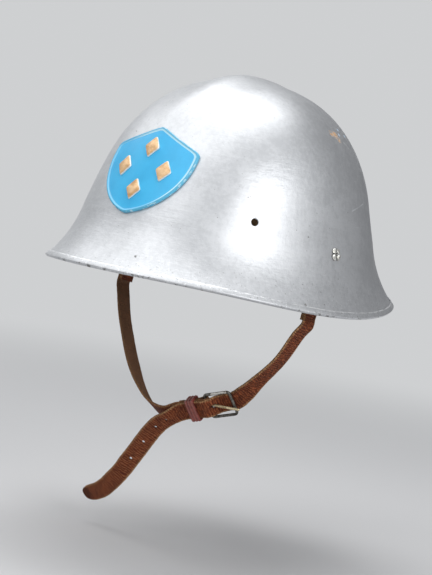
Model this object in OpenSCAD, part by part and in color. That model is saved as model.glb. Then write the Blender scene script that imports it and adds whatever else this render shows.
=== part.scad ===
// Fire helmet: a pressed steel dome with a flared brim, a shield badge, a leather
// liner on a steel band, and a buckled leather chin strap hung from two side rivets.
// Millimetres. +Z is up, the wearer looks along -Y and the wearer's left is +X.
// The origin is the middle of the headband's lower edge, where the head enters.

/* [Shell] */
// Length from front rim to rear rim
shell_len = 288.5; // [280:0.5:300]
// Width across the side rims
shell_wid = 239.5; // [234:0.5:250]
// Height of the crown above the headband's lower edge, without the keel
crown_z = 142; // [138:1:150]
// Reach of the front rim ahead of the origin
front_reach = 142.5; // [139:0.5:148]
// Thickness of the pressed plate
shell_t = 1.4; // [1:0.1:2]
// Depth of the side rims below the origin
rim_drop = 16; // [13:1:20]
// Height of the front rim over the side rims
front_lift = 8.5; // [4:0.5:11]
// Height of the rear rim over the side rims
rear_lift = 13; // [9:0.5:16]
// Height that the rim gains at its four quarters
quarter_lift = 2; // [0:0.5:4]
// Reach of the dome's wall to the front
dome_front = 111; // [109:0.5:114]
// Reach of the dome's wall to the rear
dome_rear = 109.5; // [108:0.5:113]
// Half width of the dome's wall
dome_side = 95.5; // [94.5:0.5:98]
// Height of the soft keel that runs over the crown
keel_h = 3.7; // [1:0.1:5]

/* [Vent holes] */
// Radius of a vent hole
vent_r = 2.9; // [2:0.1:4]
// Angle of the vent holes round from the front
vent_angle = 53; // [48:1:58]
// Height of the vent holes
vent_z = 40; // [37:1:48]

/* [Rim band] */
// Height of the folded band over the shell's edge
band_leg = 4; // [3:0.5:6]
// Thickness of the folded band
band_t = 0.6; // [0.5:0.1:1]

/* [Badge] */
// Width of the shield
shield_wid = 76; // [66:1:80]
// Height of the shield's peak over its middle
shield_peak = 36; // [32:1:38]
// Depth of the shield's tip below its middle
shield_tip = 33.5; // [30:0.5:36]
// Height of the shield's middle
shield_z = 62; // [60:0.5:66]
// Thickness of the shield plate
shield_t = 1.6; // [1.2:0.1:2.2]
// Width of the shield's raised edge
shield_edge = 2.4; // [1.5:0.1:4]
// Height of the raised edge over the plate
shield_edge_h = 0.7; // [0.4:0.1:1.2]
// Width of one lozenge
lozenge_wid = 13; // [9:0.5:15]
// Height of one lozenge
lozenge_len = 17; // [12:0.5:18]
// Rise of a lozenge over the plate
lozenge_h = 2; // [1.2:0.1:3]
// Radius of the badge's two studs
stud_r = 1.5; // [1.2:0.1:2]

/* [Headband] */
// Half width of the room for the head
head_side = 79; // [76:0.5:81]
// Reach of the room for the head to the front
head_front = 99; // [96:0.5:101]
// Reach of the room for the head to the rear
head_rear = 97; // [94:0.5:98]
// Thickness of the leather sweatband
sweat_t = 2; // [1.5:0.1:2.4]
// Height of the leather sweatband
sweat_h = 36; // [35:1:42]
// Thickness of the steel liner band
liner_t = 0.8; // [0.6:0.1:1.2]
// Height of the steel liner band
liner_h = 14; // [12:1:18]
// Thickness of the leather fingers
finger_t = 1.6; // [1.2:0.1:1.8]
// Number of leather fingers
finger_count = 8; // [8, 10]
// Height of the drawcord ring
crown_ring_z = 114; // [108:1:118]
// Radius of the drawcord ring
crown_ring_r = 24; // [20:1:28]
// Radius of the drawcord
cord_r = 1.2; // [1:0.1:1.6]

/* [Rivets] */
// Height of the liner rivets
rivet_z = 26; // [24:0.5:28]
// Radius of a liner rivet's shank
rivet_r = 2; // [1.6:0.1:2.4]
// Radius of the split rivet end that is spread on the shell
petal_r = 5.6; // [4.5:0.1:6.5]
// Radius of a small band rivet's head
band_rivet_r = 3; // [2.4:0.1:3.6]

/* [Chin strap] */
// Width of the strap
strap_w = 15; // [14:0.5:17]
// Thickness of the strap
strap_t = 2; // [1.6:0.1:2.4]
// Distance of the hangers from the middle plane
hanger_x = 90.75; // [89.5:0.25:92]
// Thickness of a hanger plate
hanger_t = 1.5; // [1.2:0.1:2]
// Length from the rivet to the hanger's lower bar
hanger_len = 29.5; // [28:0.5:32]
// Forward lean of the hanging strap, in degrees
strap_rake = 10; // [8:1:12]
// Radius of the buckle's wire
wire_r = 1.1; // [0.9:0.05:1.3]
// Length between the buckle's two bars
buckle_len = 22; // [20.5:0.5:24]
// Length of the buckle's prong
prong_len = 27.5; // [26.5:0.5:29]
// Radius of the prong
prong_r = 0.9; // [0.7:0.05:1]
// Length of the leather keeper along the strap
keeper_len = 7.5; // [6:0.5:8.5]
// Number of ridges round the keeper
keeper_ridges = 3; // [2, 3, 4]
// Radius of the strap's adjusting holes
hole_r = 1.2; // [1:0.1:1.8]

/* [Clearances] */
// Gap between seated pieces of one body
seat_gap = 0.15; // [0.1:0.05:0.25]
// Gap round a turning pin
run_gap = 0.07; // [0.04:0.01:0.1]
// Gap between leather and what moves beside it
soft_gap = 0.3; // [0.25:0.05:0.4]

/* [Hidden] */

$fn = 48;
tiny = 0.01;

silver = [0.66, 0.67, 0.68];
steel = [0.50, 0.51, 0.52];
brass = [0.72, 0.60, 0.36];
sky = [0.16, 0.56, 0.86];
gold = [0.78, 0.60, 0.33];
leather = [0.36, 0.17, 0.10];
liner_tan = [0.55, 0.38, 0.24];
felt_grey = [0.42, 0.41, 0.38];

// Mesh of the shell: sectors round it, rings over the dome and rings down the wall
sectors = 72;
dome_rings = 14;
wall_rings = 7;

// Profile of one side of the shell: reach of its wall, height where the wall starts,
// reach and height of its rim, roundness of the dome, height where the flare starts
// and the power by which the flare grows
side_rim_z = -rim_drop;
front_rim_z = side_rim_z + front_lift;
rear_rim_z = side_rim_z + rear_lift;
front_line = [dome_front, 29.5, front_reach, front_rim_z, 0.95, 1.11, 81, 2.5];
side_line = [dome_side, 37.8, shell_wid / 2, side_rim_z, 0.80, 1.08, 65, 2.6];
rear_line = [dome_rear, 34, shell_len - front_reach, rear_rim_z, 0.85, 1.11, 61, 1.7];
dome_power = 2.2;
rim_power = 2.09;
keel_half = 14;
keel_from = 50;
keel_rise = 60;

function unit(v) = v / norm(v);
function cut01(x) = min(1, max(0, x));

// A line at run u: 0 to 1 goes down the dome, 1 to 2 down the wall to the rim
function line_z(l, u) = u <= 1
  ? l[1] + (crown_z - l[1]) * pow(cos(90 * u), l[5])
  : l[1] + (l[3] - l[1]) * (u - 1);
function flare(l, z) = (l[2] - l[0]) * pow(max(0, (l[6] - z) / (l[6] - l[3])), l[7]);
function line_r(l, u) = (u <= 1 ? l[0] * pow(sin(90 * u), l[4]) : l[0]) + flare(l, line_z(l, u));
function line_run(l, z) = 1 + (l[1] - z) / (l[1] - l[3]);

// Roundness of an oval at angle a from the front, and a point of an oval
function round_k(a, n) = pow(pow(abs(cos(a)), n) + pow(abs(sin(a)), n), -1 / n);
function oval_point(a, side, front, rear) =
  round_k(a, dome_power) * [side * sin(a), -(cos(a) > 0 ? front : rear) * cos(a)];

// The outer surface of the shell, its outward direction, and a point d mm outside it
function keel(x, z) = keel_h * exp(-pow(x / keel_half, 2)) * cut01((z - keel_from) / keel_rise);
function shell_point(a, u) =
  let (
    ends = cos(a) > 0 ? front_line : rear_line,
    share = pow(cos(a), 2),
    wall = max(0, u - 1),
    k = round_k(a, dome_power + (rim_power - dome_power) * wall),
    x = line_r(side_line, u) * sin(a) * k,
    y = -line_r(ends, u) * cos(a) * k,
    z0 = share * line_z(ends, u) + (1 - share) * line_z(side_line, u),
    z = z0 + 4 * share * (1 - share) * quarter_lift * wall * wall
  ) [x, y, z + keel(x, z)];
function shell_normal(a, u) = u < 0.02 ? [0, 0, 1] :
  unit(cross(shell_point(a, u + 0.01) - shell_point(a, u - 0.01),
    shell_point(a + 1, u) - shell_point(a - 1, u)));
function shell_offset(a, u, d) = shell_point(a, u) + d * shell_normal(a, u);

// Runs of the rings, closer together near the crown and at the rim
ring_runs = concat(
  [for (i = [1 : dome_rings]) i / dome_rings],
  [for (i = [1 : wall_rings]) 1 + pow(i / wall_rings, 0.9)]);

// Faces of a grid of rows by cols points, wrapped round when closed
function grid_faces(rows, cols, start, closed, flip) =
  let (last = closed ? cols - 1 : cols - 2)
  [for (i = [0 : rows - 2]) for (j = [0 : last])
    let (
      a = start + i * cols + j,
      b = start + i * cols + (j + 1) % cols,
      c = a + cols,
      d = b + cols
    ) for (f = flip ? [[a, b, d], [a, d, c]] : [[a, d, b], [a, c, d]]) f];

// Solid between two offsets of the shell, over the whole dome
module dome_skin(low, high, runs) {
  rows = len(runs);
  outer = [for (u = runs) for (j = [0 : sectors - 1]) shell_offset(j * 360 / sectors, u, high)];
  inner = [for (u = runs) for (j = [0 : sectors - 1]) shell_offset(j * 360 / sectors, u, low)];
  count = rows * sectors;
  tops = [shell_offset(0, 0, high), shell_offset(0, 0, low)];
  caps = [for (j = [0 : sectors - 1]) let (k = (j + 1) % sectors)
    for (f = [[2 * count, k, j], [2 * count + 1, count + j, count + k]]) f];
  rim = [for (j = [0 : sectors - 1])
    let (k = (j + 1) % sectors, a = (rows - 1) * sectors)
    for (f = [[a + j, a + k, count + a + k], [a + j, count + a + k, count + a + j]]) f];
  polyhedron(
    points = concat(outer, inner, tops),
    faces = concat(caps, rim,
      grid_faces(rows, sectors, 0, true, true),
      grid_faces(rows, sectors, count, true, false)));
}

// Closed solid of one patch of the shell, between two offsets
module patch(a0, a1, u0, u1, na, nu, low, high) {
  function at(i, j, d) = shell_offset(a0 + (a1 - a0) * j / na, u0 + (u1 - u0) * i / nu, d);
  cols = na + 1;
  count = (nu + 1) * cols;
  upper = [for (i = [0 : nu]) for (j = [0 : na]) at(i, j, high)];
  lower = [for (i = [0 : nu]) for (j = [0 : na]) at(i, j, low)];
  border = concat(
    [for (j = [0 : na - 1]) j],
    [for (i = [0 : nu - 1]) i * cols + na],
    [for (j = [na : -1 : 1]) nu * cols + j],
    [for (i = [nu : -1 : 1]) i * cols]);
  size = len(border);
  walls = [for (i = [0 : size - 1])
    let (p = border[i], q = border[(i + 1) % size])
    for (f = [[p, q + count, q], [p, p + count, q + count]]) f];
  polyhedron(
    points = concat(upper, lower),
    faces = concat(walls,
      grid_faces(nu + 1, cols, 0, false, true),
      grid_faces(nu + 1, cols, count, false, false)));
}

// Place children with their +X, +Y and +Z along the given directions
module frame_at(p, x, y, z) {
  multmatrix([
    [x[0], y[0], z[0], p[0]],
    [x[1], y[1], z[1], p[1]],
    [x[2], y[2], z[2], p[2]],
    [0, 0, 0, 1]]) children();
}

// Place children at angle a round the helmet, +X outward and +Z up
module around(a) {
  rotate([0, 0, a - 90]) children();
}

// Cylinder that cuts a hole, as far to either side as it needs to go
drill_reach = 9;
module drill(r, sides = $fn) {
  cylinder(r = r, h = 2 * drill_reach, center = true, $fn = sides);
}

// Liner rivets: left, right and rear, each with the shell's line there
liner_rivet_spots = [[90, side_line], [270, side_line], [180, rear_line]];
function seat_run(spot) = line_run(spot[1], rivet_z);
function seat_reach(spot) = norm([for (i = [0, 1]) shell_point(spot[0], seat_run(spot))[i]]);

// Vent run that gives the wanted height, by halving
function find_run(a, z, low, high, n) = n == 0 ? (low + high) / 2 :
  let (mid = (low + high) / 2)
  shell_point(a, mid)[2] > z ? find_run(a, z, mid, high, n - 1) : find_run(a, z, low, mid, n - 1);
vent_run = find_run(vent_angle, vent_z, 0.3, 1.9, 16);
shield_run = find_run(0, shield_z, 0.3, 1.9, 16);

// Badge frame: across, up along the dome, and outward
shield_at = shell_point(0, shield_run);
shield_out = shell_normal(0, shield_run);
shield_up = unit(cross(shield_out, [1, 0, 0]));
stud_spots = [[0, 14], [0, -13]];
lozenge_spots = [[0, 18.5], [-18, 2], [18, 2], [0, -15]];

module on_badge(spot = [0, 0]) {
  frame_at(shield_at, [1, 0, 0], shield_up, shield_out) translate([spot[0], spot[1], 0]) children();
}

module shell() {
  color(silver) difference() {
    dome_skin(-shell_t, 0, ring_runs);
    for (side = [-1, 1]) {
      p = shell_point(side * vent_angle, vent_run);
      n = shell_normal(side * vent_angle, vent_run);
      t = unit(cross([0, 0, 1], n));
      frame_at(p, t, cross(n, t), n) drill(vent_r);
    }
    for (spot = liner_rivet_spots)
      around(spot[0]) translate([seat_reach(spot), 0, rivet_z]) rotate([0, 90, 0])
        drill(rivet_r + 2 * seat_gap);
    for (spot = stud_spots)
      on_badge(spot) translate([0, 0, -drill_reach / 2]) drill(stud_r + seat_gap);
  }
}

// A strip folded over the shell's edge. Each section is a list of [run back from the
// rim in mm, offset from the outer surface]
module rim_band() {
  lip = seat_gap + band_t;
  section = [
    [band_leg, lip], [-lip, lip], [-lip, -shell_t - lip], [band_leg, -shell_t - lip],
    [band_leg, -shell_t - seat_gap], [-seat_gap, -shell_t - seat_gap],
    [-seat_gap, seat_gap], [band_leg, seat_gap]];
  function speed(a) = norm(shell_point(a, 2) - shell_point(a, 1.99)) / 0.01;
  function corner(a, s) =
    shell_offset(a, 2 - s[0] / speed(a), s[1]);
  cols = len(section);
  points = [for (j = [0 : sectors - 1]) for (s = section) corner(j * 360 / sectors, s)];
  ring = [for (i = [0 : sectors - 1]) for (s = [0 : cols - 1])
    let (a = i * cols + s, b = i * cols + (s + 1) % cols,
      c = (i + 1) % sectors * cols + s, d = (i + 1) % sectors * cols + (s + 1) % cols)
    for (f = [[a, d, b], [a, c, d]]) f];
  color(silver) polyhedron(points = points, faces = ring);
}

// Half of the shield's edge, from peak to tip, as a line, a corner arc and a side arc
corner_r = 5;
side_arc_y = 13;
side_arc_r = (pow(shield_wid / 2, 2) + pow(shield_tip + side_arc_y, 2)) / shield_wid;
shoulder_y = shield_peak - 13.5;
top_dip = 0.5;
top_end = shield_wid / 2 - 4;
function shield_half() = concat(
  [for (i = [0 : 3]) let (t = i / 4)
    [top_end * t, shield_peak - (shield_peak - shoulder_y) * t - top_dip * sin(180 * t)]],
  [for (a = [72 : -18 : 0])
    [shield_wid / 2 - corner_r * (1 - cos(a)), shoulder_y - corner_r * (1 - sin(a))]],
  [for (a = [0 : 1 : 9])
    let (end = asin((shield_tip + side_arc_y) / side_arc_r), t = -end * a / 9)
    [shield_wid / 2 - side_arc_r * (1 - cos(t)), side_arc_y + side_arc_r * sin(t)]]);

// Angle and run on the dome below a spot of the badge plane, by Newton's method
function dome_spot(x, y, a = 0, u = shield_run, n = 6) = n == 0 ? [a, u] :
  let (
    p = shell_point(a, u),
    pa = shell_point(a + 1, u) - p,
    pu = 100 * (shell_point(a, u + 0.01) - p),
    ex = x - p[0],
    ey = y - (p - shield_at) * shield_up,
    yy = [pa * shield_up, pu * shield_up],
    det = pa[0] * yy[1] - pu[0] * yy[0]
  ) dome_spot(x, y, a + (ex * yy[1] - ey * pu[0]) / det, u + (pa[0] * ey - yy[0] * ex) / det, n - 1);

// Solid over an outline round a middle spot: each ring has a share of the outline and a
// height over the dome, and the first and last rings close on the middle
module dome_plate(outline, middle, rings) {
  n = len(outline);
  m = len(rings);
  function at(p, h) = let (s = dome_spot(p[0], p[1])) shell_offset(s[0], s[1], h);
  grid = [for (r = rings) for (p = outline) at(middle + r[0] * p, r[1])];
  last = (m - 1) * n;
  polyhedron(
    points = concat(grid, [at(middle, rings[0][1]), at(middle, rings[m - 1][1])]),
    faces = concat(
      [for (j = [0 : n - 1]) [m * n, j, (j + 1) % n]],
      [for (j = [0 : n - 1]) [m * n + 1, last + (j + 1) % n, last + j]],
      grid_faces(m, n, 0, true, false)));
}

function shield_outline() =
  let (half = shield_half(), n = len(half))
  concat(half, [for (i = [n - 2 : -1 : 1]) [-half[i][0], half[i][1]]]);

// Raised edge of the plate, as shares of the outline
edge_share = 2 * shield_edge / shield_wid;
edge_top = shield_t + shield_edge_h;

module badge_shield() {
  color(sky) union() {
    dome_plate(shield_outline(), [0, 0], [
      [0.35, shield_t], [0.65, shield_t], [1 - edge_share, shield_t],
      [1 - 0.7 * edge_share, edge_top], [1 - 0.3 * edge_share, edge_top],
      [1, shield_t * 0.6], [1, seat_gap], [0.78, seat_gap], [0.52, seat_gap], [0.26, seat_gap]]);
    for (spot = stud_spots)
      on_badge(spot) translate([0, 0, -surface_sag(spot) - stud_len])
        cylinder(r = stud_r, h = stud_len + shield_t / 2);
  }
}

// Length of a stud below the dome's surface, and that surface's depth at a spot
stud_grip = 6;
stud_len = shell_t + stud_grip;
function surface_sag(spot) =
  let (s = dome_spot(spot[0], spot[1])) (shield_at - shell_point(s[0], s[1])) * shield_out;

// A lozenge's outline, with its sides divided in three
function lozenge() =
  let (c = [[0, lozenge_len / 2], [lozenge_wid / 2, 0], [0, -lozenge_len / 2], [-lozenge_wid / 2, 0]])
  [for (i = [0 : 3]) for (k = [0 : 2]) c[i] + (c[(i + 1) % 4] - c[i]) * k / 3];

module badge_lozenges() {
  low = shield_t + 0.1;
  color(gold) for (spot = lozenge_spots)
    dome_plate(lozenge(), spot, [
      [0.45, shield_t + lozenge_h], [0.88, shield_t + lozenge_h * 0.62],
      [1, shield_t + lozenge_h * 0.3], [1, low], [0.5, low]]);
}

// Nuts on the studs, inside the shell
nut_seat = 0.7;
module badge_nuts() {
  nut_h = 2.4;
  color(steel) for (spot = stud_spots)
    on_badge(spot) translate([0, 0, -surface_sag(spot) - shell_t - nut_h - nut_seat]) difference() {
      cylinder(r = 2.6 * stud_r, h = nut_h, $fn = 6);
      translate([0, 0, -1]) cylinder(r = stud_r + run_gap, h = nut_h + 2);
    }
}

// Layers of the liner, from the head outwards
sweat_out = sweat_t;
finger_in = sweat_out + soft_gap;
finger_out = finger_in + finger_t;
finger_mid = finger_in + finger_t / 2;
rivet_head_r = 4.5;
liner_in = finger_out + seat_gap;
liner_out = liner_in + liner_t;
liner_low = rivet_z - liner_h / 2;
liner_top = rivet_z + liner_h / 2;

module oval_prism(grow, low, high) {
  translate([0, 0, low]) linear_extrude(high - low)
    polygon([for (j = [0 : sectors - 1])
      oval_point(j * 360 / sectors, head_side + grow, head_front + grow, head_rear + grow)]);
}

module oval_ring(inside, outside, low, high) {
  difference() {
    oval_prism(outside, low, high);
    oval_prism(inside, low - 1, high + 1);
  }
}

// Reach of a liner layer at angle a, and the small rivets' angles
function layer_reach(a, grow) =
  norm(oval_point(a, head_side + grow, head_front + grow, head_rear + grow));
finger_angles = [for (i = [0 : finger_count - 1]) (i + 0.5) * 360 / finger_count];
function layer_turn(a) =
  let (
    p = oval_point(a + 0.5, head_side, head_front, head_rear),
    q = oval_point(a - 0.5, head_side, head_front, head_rear)
  ) atan2(p[1] - q[1], p[0] - q[0]);

// Place children on the head oval at angle a, +X outward, square to the oval
module on_band(a) {
  p = oval_point(a, head_side, head_front, head_rear);
  translate([p[0], p[1], rivet_z]) rotate([0, 0, layer_turn(a) - 90]) children();
}

band_shank_r = 1.2;
module band_rivet_holes() {
  for (a = finger_angles)
    on_band(a) translate([liner_out / 2, 0, 0]) rotate([0, 90, 0]) drill(band_shank_r + seat_gap, 24);
}

// Holes at the liner rivets through the layers that lie on the head oval
module liner_rivet_holes(r) {
  for (spot = liner_rivet_spots)
    around(spot[0]) translate([layer_reach(spot[0], liner_in), 0, rivet_z]) rotate([0, 90, 0]) drill(r);
}

module liner_band() {
  color(steel) difference() {
    oval_ring(liner_in, liner_out, liner_low, liner_top);
    band_rivet_holes();
    liner_rivet_holes(rivet_r + 2 * seat_gap);
  }
}

module sweatband() {
  color(liner_tan) difference() {
    oval_ring(0, sweat_out, 0, sweat_h);
    band_rivet_holes();
  }
}

// Small rivets that hold the leather to the liner band, one to each finger
module band_rivets() {
  head_t = 0.7;
  color(brass) for (a = finger_angles)
    on_band(a) rotate([0, 90, 0]) {
      translate([0, 0, -head_t]) cylinder(r = band_shank_r, h = liner_out + 2 * head_t, $fn = 24);
      translate([0, 0, -seat_gap - head_t]) cylinder(r = band_rivet_r, h = head_t, $fn = 24);
      translate([0, 0, liner_out + seat_gap]) cylinder(r = band_rivet_r, h = head_t, $fn = 24);
    }
}

// A finger's middle line as rows of [place across the helmet, height, tilt of its
// thickness]: up the band, over the crown, then round the drawcord as a hem
finger_foot = liner_low + 1;
finger_bend = max(liner_top, sweat_h) + 1;
hem_r = cord_r + 2 * seat_gap + finger_t / 2;
hem_z = crown_ring_z;
crown_steps = 7;
hem_steps = 5;
finger_rows = concat(
  [[0, finger_foot, 0], [0, finger_bend, 0]],
  [for (i = [1 : crown_steps]) let (b = 90 * i / crown_steps)
    [1 - pow(cos(b), 0.9), finger_bend + (hem_z + hem_r - finger_bend) * sin(b), b]],
  [for (i = [1 : hem_steps]) let (b = 42 * i)
    [1 + sin(b) * hem_r / 100, hem_z + hem_r * cos(b), 90 + b]]);
function finger_half(z) =
  (180 / finger_count) * (0.94 - 0.34 * cut01((z - finger_bend) / (hem_z - finger_bend)));

// A point of the finger at angle a: t across it from -1 to 1, d off its middle line
function finger_point(a, t, row, d) =
  let (
    turn = a + t * finger_half(row[1]),
    foot = oval_point(turn, head_side + finger_mid, head_front + finger_mid, head_rear + finger_mid),
    reach = norm(foot),
    r = row[0] <= 1
      ? crown_ring_r + (reach - crown_ring_r) * (1 - row[0])
      : crown_ring_r - (row[0] - 1) * 100,
    out = row[2] <= 0 ? 1 : cos(row[2]),
    rise = row[2] <= 0 ? 0 : sin(row[2])
  ) [foot[0] / reach * (r + d * out), foot[1] / reach * (r + d * out), row[1] + d * rise];

module finger(a) {
  across = [for (i = [-3 : 3]) i / 3];
  cols = len(across);
  last = len(finger_rows) - 1;
  count = (last + 1) * cols;
  outer = [for (row = finger_rows) for (t = across) finger_point(a, t, row, finger_t / 2)];
  inner = [for (row = finger_rows) for (t = across) finger_point(a, t, row, -finger_t / 2)];
  border = concat(
    [for (j = [0 : cols - 2]) j],
    [for (i = [0 : last - 1]) i * cols + cols - 1],
    [for (j = [cols - 1 : -1 : 1]) last * cols + j],
    [for (i = [last : -1 : 1]) i * cols]);
  size = len(border);
  walls = [for (i = [0 : size - 1])
    let (p = border[i], q = border[(i + 1) % size])
    for (f = [[p, q, q + count], [p, q + count, p + count]]) f];
  polyhedron(
    points = concat(outer, inner),
    faces = concat(walls,
      grid_faces(last + 1, cols, 0, false, false),
      grid_faces(last + 1, cols, count, false, true)));
}

// Leather fingers, each with a hem round the drawcord
module crown_fingers() {
  color(liner_tan) difference() {
    for (a = finger_angles) finger(a);
    band_rivet_holes();
    liner_rivet_holes(rivet_head_r + soft_gap);
  }
}

// Drawcord ring with its knot and its two ends, which hang in the gap at the rear
knot_r = 2.2 * cord_r;
knot_len = 5;
cord_end = 20;
module drawcord() {
  color([0.72, 0.68, 0.58]) union() {
    rotate_extrude() translate([crown_ring_r, crown_ring_z]) circle(r = cord_r, $fn = 24);
    translate([0, crown_ring_r, crown_ring_z]) {
      rotate([0, 90, 0]) cylinder(r = knot_r, h = knot_len, center = true);
      for (side = [-1, 1])
        translate([side * cord_r, 0, 0]) rotate([12, 180 - side * 14, 0])
          cylinder(r = 0.8 * cord_r, h = cord_end, $fn = 24);
    }
  }
}

// Felt pads between the liner band and the shell
pad_angles = [0, 42, 318, 136, 224];
pad_w = 24;
pad_h = 22;
pad_spread = 14;
pad_runs = [0.85, 1.7];
pad_reach = 30;
module felt_pads() {
  pad_gap = shell_t + 2 * seat_gap;
  color(felt_grey) for (a = pad_angles)
    difference() {
      intersection() {
        patch(a - pad_spread, a + pad_spread, pad_runs[0], pad_runs[1], 6, 6, -pad_reach, -pad_gap);
        on_band(a) translate([0, -pad_w / 2, -pad_h / 2]) cube([2 * pad_w, pad_w, pad_h]);
      }
      oval_prism(liner_out + seat_gap, liner_low - pad_h, liner_top + pad_h);
    }
}

// Stack at a side rivet: outer spacer, hanger plate, inner spacer, band
spacer_r = 4.5;
function band_reach(spot) = layer_reach(spot[0], liner_out);
module spacer(spot, low, high) {
  around(spot[0]) translate([low, 0, rivet_z]) rotate([0, 90, 0]) difference() {
    cylinder(r = spacer_r, h = high - low);
    translate([0, 0, -1]) cylinder(r = rivet_r + seat_gap, h = high - low + 2);
  }
}

// Block of the shell's plate and all outside it, square to the shell at a spot
module beyond_shell(spot, gap) {
  p = shell_offset(spot[0], seat_run(spot), -shell_t - gap);
  n = shell_normal(spot[0], seat_run(spot));
  t = unit(cross([0, 0, 1], n));
  block = 6 * spacer_r;
  frame_at(p, t, cross(n, t), n) translate([-block / 2, -block / 2, 0]) cube(block);
}

module rivet_spacers() {
  color(steel) for (spot = liner_rivet_spots) {
    foot = band_reach(spot) + seat_gap;
    difference() {
      spacer(spot, spot[0] == 180 ? foot : hanger_x + hanger_t / 2 + seat_gap, seat_reach(spot) + 4);
      beyond_shell(spot, 2 * seat_gap);
    }
    if (spot[0] != 180) spacer(spot, foot, hanger_x - hanger_t / 2 - seat_gap);
  }
}

// Split rivet: a head inside the band and four petals spread on the shell
module split_rivets() {
  head_t = 1.2;
  color(steel) for (spot = liner_rivet_spots) {
    inside = layer_reach(spot[0], liner_in) - seat_gap;
    p = shell_point(spot[0], seat_run(spot));
    n = shell_normal(spot[0], seat_run(spot));
    t = unit(cross([0, 0, 1], n));
    union() {
      around(spot[0]) translate([inside - head_t, 0, rivet_z]) rotate([0, 90, 0]) {
        cylinder(r = rivet_head_r, h = head_t);
        cylinder(r = rivet_r, h = seat_reach(spot) + 0.9 - inside + head_t);
      }
      frame_at(p, t, cross(n, t), n) for (i = [0 : 3])
        rotate([0, 0, 45 + 90 * i - 33]) rotate_extrude(angle = 66)
          polygon([[0, 0.3], [rivet_r - 0.5, 0.3], [petal_r - 0.6, seat_gap], [petal_r, 0.35],
            [petal_r - 0.5, 1.15], [petal_r * 0.6, 1.75], [rivet_r, 1.6], [1.1, 0.95], [0, 0.8]]);
    }
  }
}

// Directions of the hanging strap: down it, across it
strap_down = [0, -sin(strap_rake), -cos(strap_rake)];
strap_edge = [0, cos(strap_rake), -sin(strap_rake)];
slot_h = 5;
bar_h = 4;
hanger_half = strap_w / 2 + 4;
bar_near = hanger_len - bar_h / 2;

// Place children at a side's hanger: +X down the strap, +Y across it, +Z outward
module on_hanger(side, down) {
  frame_at([side * hanger_x, 0, rivet_z] + down * strap_down,
    strap_down, strap_edge, [side, 0, 0]) children();
}

module hanger(side) {
  color(steel) on_hanger(side, 0) translate([0, 0, -hanger_t / 2]) difference() {
    linear_extrude(hanger_t) difference() {
      union() {
        hull() {
          circle(r = 7);
          translate([bar_near - slot_h - 3, -hanger_half + 2]) square([3, 2 * hanger_half - 4]);
        }
        hull() for (x = [bar_near - slot_h - 2, hanger_len + bar_h / 2 - 2])
          for (y = [2 - hanger_half, hanger_half - 2]) translate([x, y]) circle(r = 2, $fn = 24);
      }
      translate([bar_near - slot_h, -strap_w / 2 - 1]) square([slot_h, strap_w + 2]);
    }
    translate([0, 0, -1]) cylinder(r = rivet_r + run_gap, h = hanger_t + 2);
  }
}

module left_hanger() { hanger(1); }
module right_hanger() { hanger(-1); }

// Strap folded round the hanger's lower bar, in section, with its doubled length
fold_len = 22;
fold_gap = hanger_t / 2 + soft_gap - 0.05;
module hanger_fold(side) {
  on_hanger(side, hanger_len) rotate([90, 0, 0]) translate([0, 0, -strap_w / 2])
    linear_extrude(strap_w) difference() {
      union() {
        hull() {
          translate([-0.6, 0]) circle(r = fold_gap + strap_t);
          translate([3, -fold_gap - strap_t + 0.2]) square([1, 2 * (fold_gap + strap_t) - 0.4]);
          translate([9, -strap_t]) square([tiny, 2 * strap_t]);
        }
        translate([8, -strap_t]) square([fold_len - 8, 2 * strap_t]);
      }
      hull() {
        translate([-1.55, 0]) circle(r = fold_gap, $fn = 24);
        translate([2.3, -0.7]) square([tiny, 1.4]);
        translate([1.6, -fold_gap]) square([tiny, 2 * fold_gap]);
      }
    }
}

// Buckle frame of reference: along the strap to the wearer's right, across it, outward
buckle_at = [24.5, -22, -101];
buckle_run = unit([-0.94, -0.12, -0.32]);
buckle_lean = [0.27, 0.53, -0.8];
buckle_edge = unit(buckle_lean - (buckle_lean * buckle_run) * buckle_run);
buckle_out = cross(buckle_run, buckle_edge);
function buckle_point(u, n) = buckle_at + u * buckle_run + n * buckle_out;
module on_buckle() {
  frame_at(buckle_at, buckle_run, buckle_edge, buckle_out) children();
}

// Heights over the hinge bar's middle at which the straps run
under_far = -(wire_r + 1.4 * soft_gap + strap_t / 2);
bar_fold_r = wire_r + run_gap + 0.1;
over_hinge = bar_fold_r + strap_t + soft_gap + strap_t / 2;
over_double = 1.5 * strap_t + soft_gap;
short_double = 23;
straight_to = 22;

// Smooth curve through route rows of [point, edge direction]
curve_steps = 4;
function knot(r, i) = r[min(len(r) - 1, max(0, i))];
function spline(p0, p1, p2, p3, t) =
  0.5 * (2 * p1 + (p2 - p0) * t + (2 * p0 - 5 * p1 + 4 * p2 - p3) * t * t
    + (3 * p1 - p0 - 3 * p2 + p3) * t * t * t);
function smooth(r) = concat(
  [for (i = [0 : len(r) - 2]) for (k = [0 : curve_steps - 1])
    [for (c = [0, 1])
      spline(knot(r, i - 1)[c], r[i][c], r[i + 1][c], knot(r, i + 2)[c], k / curve_steps)]],
  [r[len(r) - 1]]);

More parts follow.
